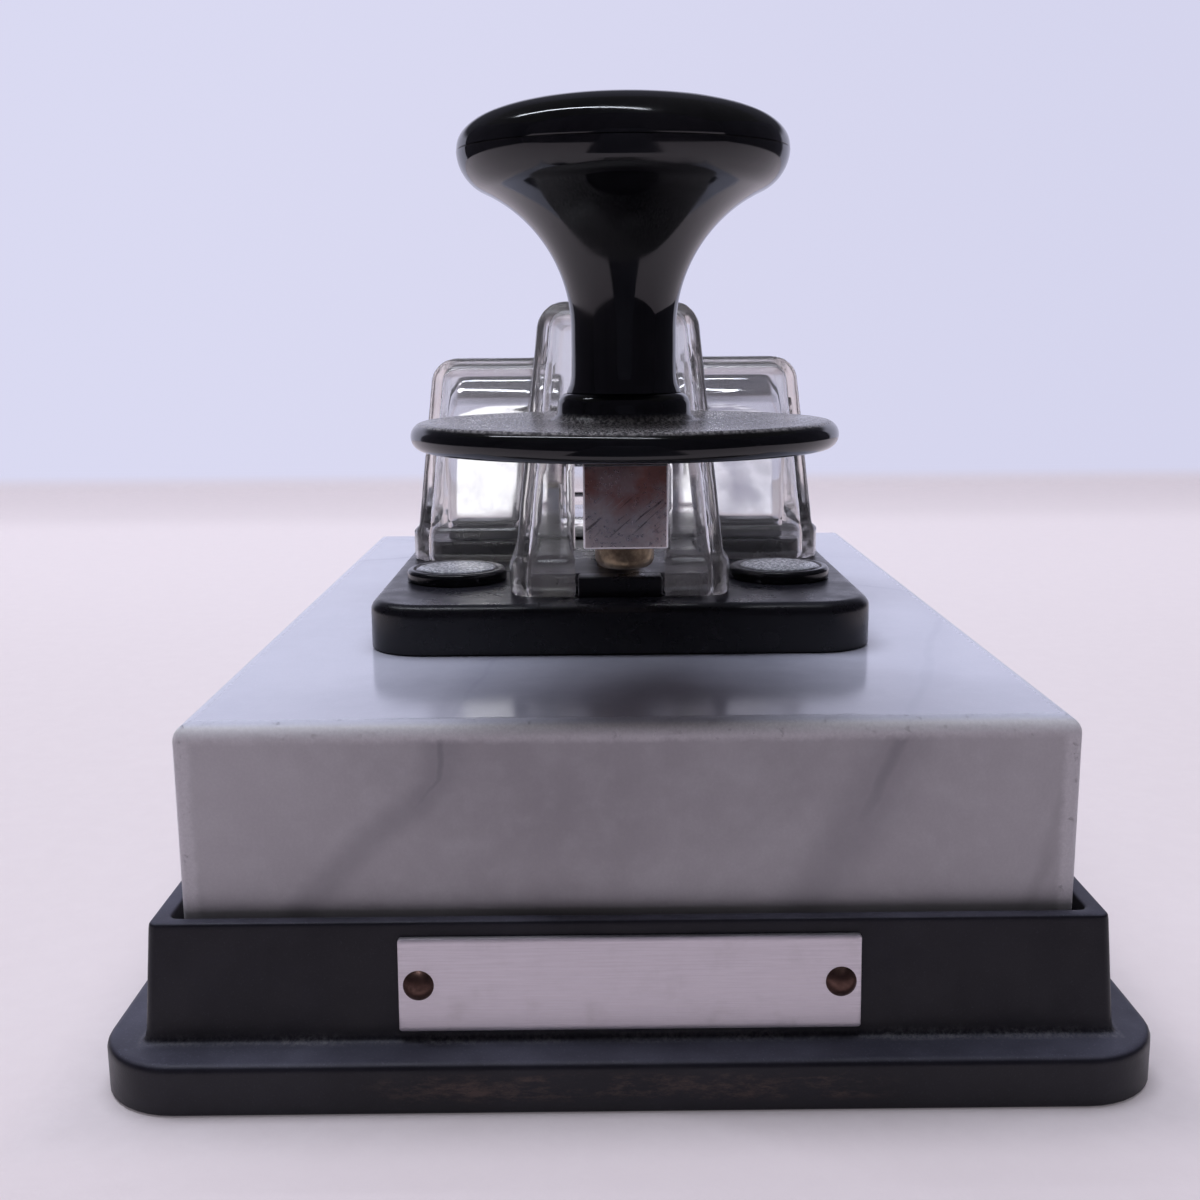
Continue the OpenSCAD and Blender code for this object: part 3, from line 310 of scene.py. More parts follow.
class Shader(Nodes):
    """A Principled material whose textures are laid out in millimetres of the rest pose."""

    def __init__(self, name, **constants):
        self.material = bpy.data.materials.new(name)
        self.material.use_nodes = True
        super().__init__(self.material.node_tree)
        self.bsdf = self.tree.nodes["Principled BSDF"]
        self.mm = self.vector("SCALE", self.make("TexCoord", {}, "Object"), Scale=1 / MM)
        self.x, self.y, self.z = self.split(self.mm)
        self.set(**constants)

    def set(self, **inputs):
        for key, value in inputs.items():
            self.feed(self.bsdf.inputs[key.replace("_", " ")], value)

    def now(self, name):
        """What feeds one of the shader's inputs so far."""
        return self.bsdf.inputs[name].links[0].from_socket

    def surface(self, shader):
        """Shows another shader in place of the Principled one."""
        self.tree.links.new(shader, self.tree.nodes["Material Output"].inputs["Surface"])

    def vector(self, operation, a, b=None, **named):
        inputs = {0: a, **named}
        if b is not None:
            inputs[1] = b
        return self.make("VectorMath", inputs, operation=operation)

    def dot(self, a, b):
        return self.make("VectorMath", {0: a, 1: b}, "Value", operation="DOT_PRODUCT")

    def length(self, a):
        return self.make("VectorMath", {0: a}, "Value", operation="LENGTH")

    def noise(self, scale, detail=3.0, rough=0.5, at=None, stretch=None, output=0):
        """Noise as a number, or as a colour where output is 1."""
        at = at or self.mm
        if stretch:
            at = self.vector("MULTIPLY", at, stretch)
        inputs = {"Vector": at, "Scale": scale, "Detail": detail, "Roughness": rough}
        return self.make("TexNoise", inputs, output)

    def warped(self, scale, amount, detail):
        """The place in millimetres, shifted by noise."""
        colour = self.noise(scale, detail, output=1)
        shift = self.vector("SCALE", self.vector("SUBTRACT", colour, (0.5, 0.5, 0.5)), Scale=amount)
        return self.vector("ADD", self.mm, shift)

    def cells(self, scale):
        return self.make("TexVoronoi", {"Vector": self.mm, "Scale": scale}, "Distance")

    def ramp(self, fac, *stops):
        node = self.node("ValToRGB", {"Fac": fac})
        elements = node.color_ramp.elements
        while len(elements) < len(stops):
            elements.new(0.5)
        for element, (position, colour) in zip(elements, stops):
            element.position = position
            element.color = (*colour, 1.0)
        return node.outputs["Color"]

    def bump(self, height, depth):
        """Depth is how high the bumps stand, in millimetres."""
        return self.make("Bump", {"Height": height, "Distance": depth * MM})

    def facing(self):
        """The surface normal, as three numbers."""
        return self.split(self.make("NewGeometry", {}, "Normal"))


# marble

# veins that cross the block's front: the X and Z where each bends, its shift along Y, its slopes above
# and below the bend, the widths of its core and its halo, and its strength
FRONT_VEINS = (((-17.9, 29.9), 0.12, 0.24, 1.0, (0.7, 3.2), 0.72),
               ((23.4, 28.0), 0.3, 0.45, 0.55, (1.6, 5.0), 0.68))
# veins in planes through the block: the plane's direction and offset, and the vein's width
DEEP_VEINS = (((0.75, -0.60, -0.28), 62.0, 1.0), ((0.60, 0.75, -0.25), 18.0, 0.7),
              ((0.45, -0.85, 0.25), -38.0, 1.0), ((0.30, 0.90, 0.30), 52.0, 0.9))


def bent_vein(s, place, foot, bend, above, below, widths, strength):
    """Darkness of one of the veins that cross the front."""
    x, y, z = s.split(place)
    rise = s.minus(z, foot[1])
    up = s.times(s.larger(rise, 0.0), above)
    down = s.times(s.math("MINIMUM", rise, 0.0), below)
    line = s.plus(up, down, s.times(s.plus(y, MARBLE_Y), bend))
    off = s.size(s.minus(s.minus(x, foot[0]), line))
    core = s.times(s.fall(off, 0.05, widths[0]), s.span(rise, -7.0, 2.0, 0.25, 1.0))
    halo = s.span(off, 0.3, widths[1], 0.55, 0.0)
    return s.times(s.larger(core, halo), strength)


def veined(s, colour):
    """Adds the block's veins to a colour."""
    front_vein, deep_vein = (0.14, 0.135, 0.155), (0.18, 0.17, 0.18)
    wander = s.warped(0.09, 3.2, 5.0)
    fade = s.span(s.noise(0.05, 2.0), 0.32, 0.58, 0.25, 1.0)
    for vein in FRONT_VEINS:
        dark = bent_vein(s, wander, *vein)
        dark = s.times(dark, s.span(s.z, MARBLE_TOP - 1.1, MARBLE_TOP - 0.1, 1.0, 0.45))
        colour = s.mix(dark, colour, front_vein)
    for normal, offset, width in DEEP_VEINS:
        off = s.size(s.minus(s.dot(wander, normal), offset))
        line = s.plus(s.span(off, 0.1, width, 0.4, 0.0), s.span(off, 0.4, width * 6, 0.22, 0.0))
        colour = s.mix(s.times(line, fade), colour, deep_vein)
    return colour


def worn_edge(s):
    """1 along the block's edges, with a ragged border."""
    ragged = s.times(s.minus(s.noise(0.9, 4.0, 0.6), 0.5), 0.8)
    near = []
    for reach, place in ((MARBLE_X, s.x), (MARBLE_Y, s.y), (MARBLE_TOP, s.z)):
        depth = s.minus(reach, s.size(place))
        near.append(s.fall(s.plus(depth, ragged), 1.2, 2.1))
    pairs = [s.times(near[a], near[b]) for a, b in ((0, 1), (0, 2), (1, 2))]
    return s.larger(*pairs)


def marble_stone():
    """Polished grey marble with clouds, veins and frosted edges, with painted light that pales its left and
    right, a painted reflection that cools its level top and painted warm light on its upright faces.
    """
    dim, grey, pale = (0.37, 0.345, 0.36), (0.49, 0.46, 0.475), (0.65, 0.62, 0.635)
    fleck, painted_light_flank, speck = (0.74, 0.725, 0.735), (0.82, 0.78, 0.80), (0.20, 0.19, 0.20)
    dull_frost, bright_frost = (0.84, 0.80, 0.825), (0.97, 0.93, 0.955)
    painted_top_reflection, painted_warm_side_light = (0.64, 0.66, 0.86), (0.80, 0.71, 0.80)
    s = Shader("marble_stone", IOR=1.5)
    cloud = s.noise(0.045, 6.0, 0.55, at=s.warped(0.028, 22.0, 4.0))
    mottle = s.noise(0.4, 5.0, 0.6)
    sugar = s.noise(3.5, 3.0, 0.7)
    colour = s.ramp(cloud, (0.28, dim), (0.5, grey), (0.72, pale))
    colour = s.mix(s.span(mottle, 0.38, 0.75, 0.0, 0.28), colour, fleck)
    # painted light: the block grows paler towards its left and right ends and stays darker in the middle
    colour = s.mix(s.span(s.size(s.x), 12.0, 42.0, 0.0, 0.48), colour, painted_light_flank)
    colour = s.mix(s.span(sugar, 0.35, 0.75, 0.12, 0.0), colour, speck)
    colour = veined(s, colour)
    edge = worn_edge(s)
    frost = s.mix(s.span(sugar, 0.3, 0.75), dull_frost, bright_frost)
    colour = s.mix(s.times(edge, 0.85), colour, frost)
    level = s.facing()["Z"]
    # painted reflection of the pale wall makes the level top cooler and paler; painted warm light tints the
    # upright faces
    colour = s.mix(s.span(level, 0.7, 0.98, 0.0, 0.5), colour, painted_top_reflection)
    colour = s.mix(s.span(level, 0.2, 0.7, 0.22, 0.0), colour, painted_warm_side_light)
    scuff = s.span(s.noise(0.6, 6.0, 0.65), 0.45, 0.75)
    polish = s.plus(s.times(scuff, 0.06), 0.09)
    rough = s.plus(polish, s.times(edge, 0.4), s.span(level, 0.1, 0.6, 0.2, 0.0))
    pits = s.fall(s.noise(1.1, 6.0, 0.75), 0.60, 0.70)
    grain = s.bump(s.plus(s.times(pits, edge), s.times(sugar, 0.12)), 0.06)
    s.set(Base_Color=colour, Roughness=rough, Normal=grain)
    return s.material


# plastics

def black_plastic(name, colour, rough, grain, dust, specular=0.5):
    """Moulded black plastic with a fine grain and some dust on its level faces, whose bluish colour is
    partly a painted reflection of the pale wall.
    """
    bluish_dust_and_reflection = (0.22, 0.215, 0.29)
    s = Shader(name, IOR=1.46, Specular_IOR_Level=specular)
    speck = s.span(s.noise(4.5, 6.0, 0.75), 0.54, 0.72)
    film = s.span(s.noise(0.06, 4.0, 0.6), 0.35, 0.75)
    flat = s.span(s.facing()["Z"], 0.55, 0.95, 0.15, 1.0)
    dust_and_reflection = s.plus(s.times(speck, 0.4), s.times(film, 0.3))
    dust_and_reflection = s.times(s.plus(dust_and_reflection, 0.25), flat, dust)
    wear = s.span(s.noise(0.22, 5.0, 0.6), 0.3, 0.7, rough - 0.05, rough + 0.07)
    # dust on the level faces, tinted bluish and made paler as a painted reflection of the pale wall
    s.set(Base_Color=s.mix(dust_and_reflection, colour, bluish_dust_and_reflection), Roughness=s.plus(wear, s.times(dust_and_reflection, 0.5)))
    s.set(Normal=s.bump(s.noise(6.0, 2.0, 0.5), grain))
    return s


def tray_plastic():
    """The tray's plastic, with dust along the wall's foot and rusty scuffs on the flange's front."""
    dust, rust = (0.34, 0.32, 0.34), (0.115, 0.075, 0.066)
    wall_x, wall_y = WALL_FOOT_X, WALL_FOOT_Y + 0.25
    s = black_plastic("tray_black_plastic", (0.005, 0.004, 0.007), 0.34, 0.012, 1.0, 0.35)
    away = s.larger(s.minus(s.size(s.x), wall_x), s.minus(s.size(s.y), wall_y))
    line = s.span(s.size(s.minus(away, 0.2)), 0.05, 0.7, 0.45, 0.0)
    grit = s.span(s.noise(2.2, 6.0, 0.75), 0.38, 0.66)
    drift = s.span(s.noise(0.16, 4.0, 0.6), 0.38, 0.6, 0.3, 1.0)
    foot = s.times(line, grit, drift, s.fall(s.z, FLANGE_Z + 0.4, FLANGE_Z + 1.2))
    scuff = s.span(s.noise(0.35, 8.0, 0.78, stretch=(0.5, 1.0, 1.6)), 0.46, 0.66)
    scuff = s.times(scuff, s.fall(s.size(s.x), 18.0, 26.0))
    low = s.times(s.span(s.z, 0.9, 1.8), s.fall(s.z, 3.2, 4.4))
    front = s.span(s.y, 0.65 - TRAY_Y, 1.65 - TRAY_Y, 0.85, 0.0)
    scuff = s.times(scuff, s.times(low, front))
    colour = s.mix(foot, s.now("Base Color"), dust)
    s.set(Base_Color=s.mix(scuff, colour, rust))
    return s.material


def cap_plastic():
    """Black, with a speckled dome inside each rim, painted pale as dust and as a painted soft highlight."""
    thin_dust_and_sheen, thick_dust_and_sheen = (0.22, 0.22, 0.24), (0.60, 0.60, 0.63)
    s = black_plastic("cap_black_plastic", (0.004, 0.004, 0.005), 0.15, 0.003, 0.10)
    mid_y = sum(CLAMP_YS) / 2
    across = s.minus(s.size(s.x), CLAMP_X)
    along = s.minus(s.size(s.minus(s.y, mid_y)), CLAMP_YS[1] - mid_y)
    radius = s.length(s.make("CombineXYZ", {"X": across, "Y": along}))
    inside = s.times(s.fall(radius, 4.5, 5.0), s.span(s.z, DECK_TOP + 1.2, DECK_TOP + 1.5))
    speck = s.span(s.noise(2.4, 6.0, 0.8), 0.46, 0.62)
    # painted highlight: the dome inside each rim is painted pale, partly as dust and partly as the soft
    # highlight the dome catches
    s.set(Base_Color=s.mix(inside, s.now("Base Color"), s.mix(speck, thin_dust_and_sheen, thick_dust_and_sheen)))
    s.set(Roughness=s.plus(s.now("Roughness"), s.times(inside, speck, 0.12)))
    return s.material


def knob_plastic():
    """Glossy black with faint smears and hairlines from fingers."""
    clean, smeared = (0.0025, 0.0025, 0.0035), (0.007, 0.0065, 0.008)
    s = Shader("knob_gloss_black", IOR=1.52)
    smear = s.noise(0.12, 6.0, 0.65)
    hair = s.noise(1.0, 3.0, 0.6, stretch=(0.25, 0.25, 3.0))
    gloss = s.plus(s.span(smear, 0.35, 0.75, 0.05, 0.16), s.span(hair, 0.55, 0.75, 0.0, 0.06))
    s.set(Base_Color=s.mix(s.span(smear, 0.35, 0.8), clean, smeared), Roughness=gloss)
    s.set(Normal=s.bump(s.noise(0.5, 3.0, 0.5), 0.006))
    return s.material


def skirt_plastic():
    """Glossy black with a gritty upper face, painted pale partly as dust and partly as a painted sheen."""
    black, film_dust_and_sheen = (0.003, 0.003, 0.004), (0.13, 0.12, 0.12)
    thin_dust_and_sheen, thick_dust_and_sheen = (0.075, 0.07, 0.075), (0.46, 0.43, 0.43)
    s = Shader("skirt_black", IOR=1.5)
    level = s.vector("MULTIPLY", s.mm, (1.0, 1.0, 0.0))
    radius = s.length(s.vector("SUBTRACT", level, (0.0, KNOB_Y, 0.0)))
    top = s.times(s.span(s.z, SKIRT_TOP - 0.55, SKIRT_TOP - 0.2), s.fall(radius, 19.7, 20.1))
    top = s.times(top, s.fall(s.z, SKIRT_TOP + 0.15, SKIRT_TOP + 0.9))
    speck = s.span(s.noise(3.0, 5.0, 0.8, stretch=(1.0, 0.45, 1.0)), 0.42, 0.62)
    film = s.span(s.noise(0.15, 4.0, 0.6), 0.3, 0.7, 0.0, 0.3)
    # painted sheen: the upper face's pale colour is partly dust and partly the bright sheen that dust shows
    # at low angles
    upper_dust_and_sheen = s.mix(film, s.mix(speck, thin_dust_and_sheen, thick_dust_and_sheen), film_dust_and_sheen)
    gloss = s.span(s.noise(0.15, 5.0, 0.6), 0.3, 0.75, 0.07, 0.17)
    matt = s.times(top, s.span(speck, 0.0, 1.0, 0.03, 0.24))
    s.set(Base_Color=s.mix(top, black, upper_dust_and_sheen), Roughness=s.plus(gloss, matt))
    s.set(Normal=s.bump(s.times(s.noise(3.2, 4.0, 0.7), top), 0.025))
    return s.material


def clear_plastic():
    """Clear moulded plastic: hazed and specked, with duller rounded edges that carry a painted warm tint for
    what they refract.
    """
    clear, hazed, painted_refraction_tint = (0.992, 0.986, 0.98), (0.965, 0.952, 0.942), (0.86, 0.77, 0.73)
    s = Shader("clear_plastic", Transmission_Weight=0.94, IOR=1.38)
    haze = s.noise(0.2, 5.0, 0.6)
    speck = s.span(s.noise(2.2, 6.0, 0.75), 0.66, 0.78)
    tint = s.mix(s.span(haze, 0.3, 0.75), clear, hazed)
    nx, ny, nz = [s.size(part) for part in s.facing()]
    curved = s.fall(s.larger(nx, ny, nz), 0.90, 0.985)
    rough = s.plus(s.span(haze, 0.4, 0.8, 0.03, 0.08), s.times(speck, 0.15))
    # painted refraction: the rounded edges are tinted warm, standing in for the brownish surroundings seen
    # through them
    s.set(Base_Color=s.mix(s.times(curved, 0.45), tint, painted_refraction_tint))
    s.set(Roughness=s.plus(rough, s.times(curved, 0.16)), Normal=s.bump(s.noise(0.16, 2.0, 0.5), 0.03))
    return s.material


def rubber():
    s = Shader("rubber_sheet")
    s.set(Base_Color=s.mix(s.noise(0.5, 4.0), (0.03, 0.03, 0.03), (0.06, 0.06, 0.06)))
    s.set(Roughness=s.span(s.noise(1.5, 3.0), 0.3, 0.7, 0.8, 0.95), Normal=s.bump(s.noise(4.0, 2.0), 0.02))
    return s.material


# metals

def metal(name, colour, stain, rough, stain_from=0.5, grain=(1.0, 1.0, 1.0), grain_scale=2.0):
    """Metal with stained patches and a grain that runs along one axis where grain is stretched."""
    grain_depth = 0.006
    s = Shader(name, Metallic=1.0)
    patch = s.span(s.noise(0.35, 6.0, 0.65), stain_from, stain_from + 0.2)
    lines = s.noise(grain_scale, 4.0, 0.6, stretch=grain)
    tone = s.mix(s.span(lines, 0.3, 0.7, 0.0, 0.35), colour, tuple(0.72 * c for c in colour))
    spread = s.plus(s.span(lines, 0.3, 0.7, rough * 0.75, rough * 1.25), s.times(patch, 0.18))
    s.set(Base_Color=s.mix(s.times(patch, 0.8), tone, stain), Roughness=spread)
    s.set(Normal=s.bump(lines, grain_depth))
    return s


def scratched(s, colour, front):
    """Adds slanting dark and bright scratches across the lever's end, and pits."""
    gouge, burr, pit = (0.06, 0.045, 0.04), (0.75, 0.71, 0.71), (0.05, 0.035, 0.03)
    slant = s.dot(s.mm, (0.66, 0.0, -0.75))
    along = s.dot(s.mm, (0.75, 0.0, 0.66))
    lay = s.make("CombineXYZ", {"X": s.times(slant, 2.6), "Y": s.times(along, 0.12)})
    hair = s.noise(1.0, 3.0, 0.7, at=lay)
    above = s.span(s.z, LEVER_Z0 + 0.7, LEVER_Z0 + 2.1)
    band = s.times(above, s.fall(s.z, LEVER_Z0 + 4.1, LEVER_Z0 + 5.5), front)
    dark = s.times(s.span(hair, 0.56, 0.63, 0.0, 0.65), band)
    bright = s.times(s.span(hair, 0.36, 0.42, 0.7, 0.0), band)
    colour = s.mix(bright, s.mix(dark, colour, gouge), burr)
    pits = s.times(s.fall(s.cells(1.3), 0.0, 0.16), s.span(s.noise(0.4, 3.0), 0.5, 0.62))
    return s.mix(s.times(pits, 0.7), colour, pit)


def lever_steel():
    """Ground steel with a tarnished, scratched front end and edges painted bright, partly as bare worn steel
    and partly as a painted highlight.
    """
    steel, stain = (0.80, 0.72, 0.70), (0.56, 0.46, 0.43)
    rust_colour, bare_and_highlit = (0.54, 0.27, 0.225), (0.88, 0.87, 0.88)
    s = metal("lever_steel", steel, stain, 0.32, 0.5, (1.0, 0.06, 1.0), 2.5)
    front = s.fall(s.y, LEVER_Y0 + 0.1, LEVER_Y0 + 0.5)
    upper = s.span(s.z, LEVER_Z0 + 2.5, LEVER_Z0 + 5.5, 0.0, 0.9)
    upper = s.plus(upper, s.span(s.noise(0.3, 6.0, 0.6), 0.35, 0.7, -0.35, 0.3))
    rust = s.math("MULTIPLY", s.larger(upper, 0.0), front, clamp=True)
    colour = scratched(s, s.mix(rust, s.now("Base Color"), rust_colour), front)
    # painted highlight: the bevels round the ends are painted pale, partly as bare worn steel and partly as
    # the thin highlights they catch
    nx, ny, nz = [s.size(part) for part in s.facing()]
    worn_and_highlit_edges = s.span(s.times(ny, s.larger(nx, nz)), 0.15, 0.4)
    s.set(Base_Color=s.mix(worn_and_highlit_edges, colour, bare_and_highlit))
    s.set(Roughness=s.plus(s.now("Roughness"), s.times(worn_and_highlit_edges, 0.2)))
    return s.material


def chrome():
    """Polished plating that is slightly wavy and smeared."""
    bright, smeared, least_rough, most_rough = (0.88, 0.88, 0.90), (0.76, 0.76, 0.79), 0.05, 0.15
    s = Shader("polished_chrome", Metallic=1.0)
    smear = s.noise(0.25, 6.0, 0.65)
    s.set(Base_Color=s.mix(s.span(smear, 0.35, 0.75), bright, smeared))
    s.set(Roughness=s.span(smear, 0.35, 0.75, least_rough, most_rough))
    s.set(Normal=s.bump(s.noise(0.12, 2.0, 0.5), 0.06))
    return s.material


def plate_metal():
    """Aluminium brushed along X, with dull blots."""
    dark_line, bright_line, blot_colour = (0.73, 0.68, 0.72), (0.89, 0.835, 0.88), (0.50, 0.47, 0.47)
    s = Shader("brushed_aluminium", Metallic=0.85)
    brush = s.noise(5.0, 4.0, 0.7, stretch=(0.025, 1.0, 1.0))
    blot = s.span(s.noise(0.3, 5.0, 0.6), 0.5, 0.8, 0.0, 0.35)
    tone = s.mix(s.span(brush, 0.3, 0.7), dark_line, bright_line)
    s.set(Base_Color=s.mix(blot, tone, blot_colour))
    s.set(Roughness=s.span(brush, 0.3, 0.7, 0.38, 0.5), Normal=s.bump(brush, 0.008))
    return s.material


MARBLE = marble_stone()
TRAY = tray_plastic()
DECK = black_plastic("deck_black_plastic", (0.0045, 0.004, 0.0055), 0.27, 0.006, 0.13).material
CAP = cap_plastic()
KNOB = knob_plastic()
SKIRT = skirt_plastic()
LEVER = lever_steel()
CLEAR = clear_plastic()
CHROME = chrome()
PLATED = metal("plated_brass", (0.74, 0.73, 0.72), (0.42, 0.36, 0.28), 0.2, 0.62).material
BRASS = metal("tarnished_brass", (0.30, 0.235, 0.155), (0.10, 0.075, 0.055), 0.36, 0.38).material
STEEL = metal("ground_steel", (0.62, 0.62, 0.63), (0.40, 0.36, 0.33), 0.26, 0.66).material
SPRING = metal("spring_steel", (0.52, 0.52, 0.53), (0.30, 0.26, 0.23), 0.28, 0.6).material
SILVER = metal("contact_silver", (0.84, 0.83, 0.81), (0.45, 0.42, 0.38), 0.2, 0.6).material
RIVET = metal("rivet_brown", (0.15, 0.088, 0.072), (0.07, 0.045, 0.04), 0.46, 0.5).material
PLATE = plate_metal()
RUBBER = rubber()

# the CAD nodes that are shown as they are
CAD_NODES = (
    (RUBBER, ["non_slip_pad"]),
    (STEEL, ["clamp_screws", "clamp_washers", "clamp_nuts", "trunnion_shaft", "trunnion_set_screw",
             "bearing_outer_rings", "bearing_inner_rings", "bearing_balls", "yoke_screws", "yoke_washer",
             "lower_contact_nut", "terminal_base_nuts"]),
    (PLATED, ["bearing_caps", "tension_screw", "tension_lock_nut", "gap_screw", "gap_lock_nut",
              "gap_anvil", "terminal_studs", "terminal_washer_left", "terminal_washer_right",
              "terminal_nut_left", "terminal_nut_right"]),
    (BRASS, ["knob_insert", "spring_seat", "upper_contact", "lower_contact", "contact_strap",
             "frame_strap"]),
    (SILVER, ["upper_contact_tip", "lower_contact_tip"]),
)
for material, names in CAD_NODES:
    for name in names:
        mesh = frame["nodes"][name].data
        mesh.materials.clear()
        mesh.materials.append(material)


# base

def tray_shape():
    """A foot flange, a wall that leans in, a rim and the marble's pocket."""
    edge, hem, under, hold, fillet, ease = 0.8, 0.05, 0.2, 0.3, 0.7, 0.35
    pad_inset, room, wall_r, wall_hold = 3.0, 0.9, 0.9, 0.4
    flange, pad = (TRAY_X, TRAY_Y, 8.0), (TRAY_X - pad_inset, TRAY_Y - pad_inset, 5.0)
    foot, pocket = (WALL_FOOT_X, WALL_FOOT_Y, wall_r), (MARBLE_X + room, MARBLE_Y + room, room)
    rim = (WALL_FOOT_X - WALL_LEAN, WALL_FOOT_Y - WALL_LEAN, wall_r)

    def ring(size, out, z):
        hx, hy, r = size
        return outline(hx + out, hy + out, r + out, z)

    rings = [ring(pad, -under, PAD_TOP), ring(pad, 0.0, PAD_TOP), ring(pad, 0.0, hem)]
    rings += [ring(flange, -under, hem), ring(flange, 0.0, hem + under)]
    rings.append(ring(flange, 0.0, FLANGE_Z - edge - under))
    rings += [ring(flange, out, z) for out, z in arc(-edge, FLANGE_Z - edge, edge, 0, 90, 6)]
    rings.append(ring(flange, -edge - hold, FLANGE_Z))
    rings += [ring(foot, out, z) for out, z in arc(fillet, FLANGE_Z + fillet, fillet, 270, 180, 5)]
    for z in (FLANGE_Z + fillet + wall_hold, RIM_Z - ease - hold):
        lean = WALL_LEAN * (1 - (z - FLANGE_Z) / (RIM_Z - FLANGE_Z))
        rings.append(outline(rim[0] + lean, rim[1] + lean, wall_r, z))
    rings += [ring(rim, out, z) for out, z in arc(-ease, RIM_Z - ease, ease, 0, 90, 4)]
    rings += [ring(pocket, out, z) for out, z in arc(ease, RIM_Z - ease, ease, 90, 180, 4)]
    rings += [ring(pocket, 0.0, POCKET_Z + hold), ring(pocket, 0.0, POCKET_Z), ring(pocket, -hold, POCKET_Z)]
    return loft(rings)


def plate_place():
    """From the plate's own axes (right, up the wall, outwards) to the leaning front wall."""
    lean = math.atan(WALL_LEAN / (RIM_Z - FLANGE_Z))
    up = 5.65
    y = WALL_FOOT_Y - up * math.tan(lean)
    stand = Matrix(((1, 0, 0, 0), (0, 0, -1, 0), (0, 1, 0, 0), (0, 0, 0, 1)))
    return Matrix.Translation((0, -y * MM, (FLANGE_Z + up) * MM)) @ Matrix.Rotation(-lean, 4, "X") @ stand


PLATE_H, PLATE_T, RIVET_X = 4.5, 0.6, 19.8


def plate_shape():
    """A thin plate with a softened front edge."""
    edge, corner, flat = 0.12, 0.3, 0.5
    layers = ((0.0, corner, 0.0), (0.0, corner, PLATE_T - edge),
              (edge * 0.3, corner, PLATE_T - edge * 0.3), (edge, 0.25, PLATE_T), (flat, 0.2, PLATE_T))
    return loft([outline(PLATE_X - inset, PLATE_H - inset, r, z, steps=4) for inset, r, z in layers])


def rivet_shape():
    """A domed head on a shank."""
    head_r, head_h, shank_r, grip = 1.45, 0.8, 0.8, 1.5
    shank = [(0.0, -grip), (shank_r, -grip), (shank_r, PLATE_T)]
    return lathe(shank + dome(head_r, head_h, PLATE_T, 10), 48)


def cap_shape():
    """A plug, a thick rim and a shallow dome inside it."""
    r, rim, dome_r, rise, plug_r, plug_l, ease, edge = 6.15, 1.5, 5.0, 0.5, 4.2, 0.7, 0.15, 0.5
    profile = [(0.0, -plug_l), (plug_r, -plug_l), (plug_r, 0.0), (r - ease, 0.0), (r, ease), (r, rim - 0.6)]
    profile += arc(r - edge, rim - edge, edge, 0, 90, 6)
    groove = ((0.25, 0.02), (0.05, 0.12), (-0.15, 0.02))
    profile += [(dome_r + out, rim - deep) for out, deep in groove]
    return lathe(profile + dome(dome_r, rise, rim, 14, 0.93), 96)


def deck_shape():
    """The sub-base and the raised platform inside the cover."""
    deck_r, deck_edge, r, edge, sink, stagger = 6.5, 1.3, 1.5, 0.3, 0.5, 0.01
    hump_x, hump_y0, hump_y1 = 10.3, -29.2, 38.41
    wing_x, wing_y0, wing_y1 = 24.85, -1.83, 15.83
    tongue_x, tongue_y1 = 4.85, -28.5
    low = DECK_TOP - sink
    slab = soft_block(DECK_X, DECK_Y0, DECK_Y1, MARBLE_TOP, DECK_TOP, deck_r, deck_edge)
    hump = soft_block(hump_x, hump_y0, hump_y1, low, PLAT_TOP, r, edge)
    wings = soft_block(wing_x, wing_y0, wing_y1, low, PLAT_TOP - stagger, r, edge)
    tongue = box(-tongue_x, tongue_x, HUMP_Y0, tongue_y1, low, PLAT_TOP - 2 * stagger)
    return joined(slab, hump, wings, bevelled(tongue, edge))


marble = soft_block(MARBLE_X, -MARBLE_Y, MARBLE_Y, POCKET_Z, MARBLE_TOP, MARBLE_CORNER, MARBLE_EDGE)
rivets = joined(moved(rivet_shape(), -RIVET_X), moved(rivet_shape(), RIVET_X))
caps = joined(*[moved(cap_shape(), sx * CLAMP_X, y, DECK_TOP) for sx in (-1, 1) for y in CLAMP_YS])
add_piece("tray_body", tray_shape(), TRAY, "base", ["tray"])
add_piece("marble_body", marble, MARBLE, "base", ["marble_block"])
add_piece("nameplate_body", plate_shape(), PLATE, "base", ["nameplate"], plate_place())
add_piece("rivet_heads", rivets, RIVET, "base", ["nameplate_rivets"], plate_place())
add_piece("sub_base_body", deck_shape(), DECK, "base", ["sub_base"])
add_piece("screw_cap_domes", caps, CAP, "base", ["screw_caps"])


# knob, skirt and yoke

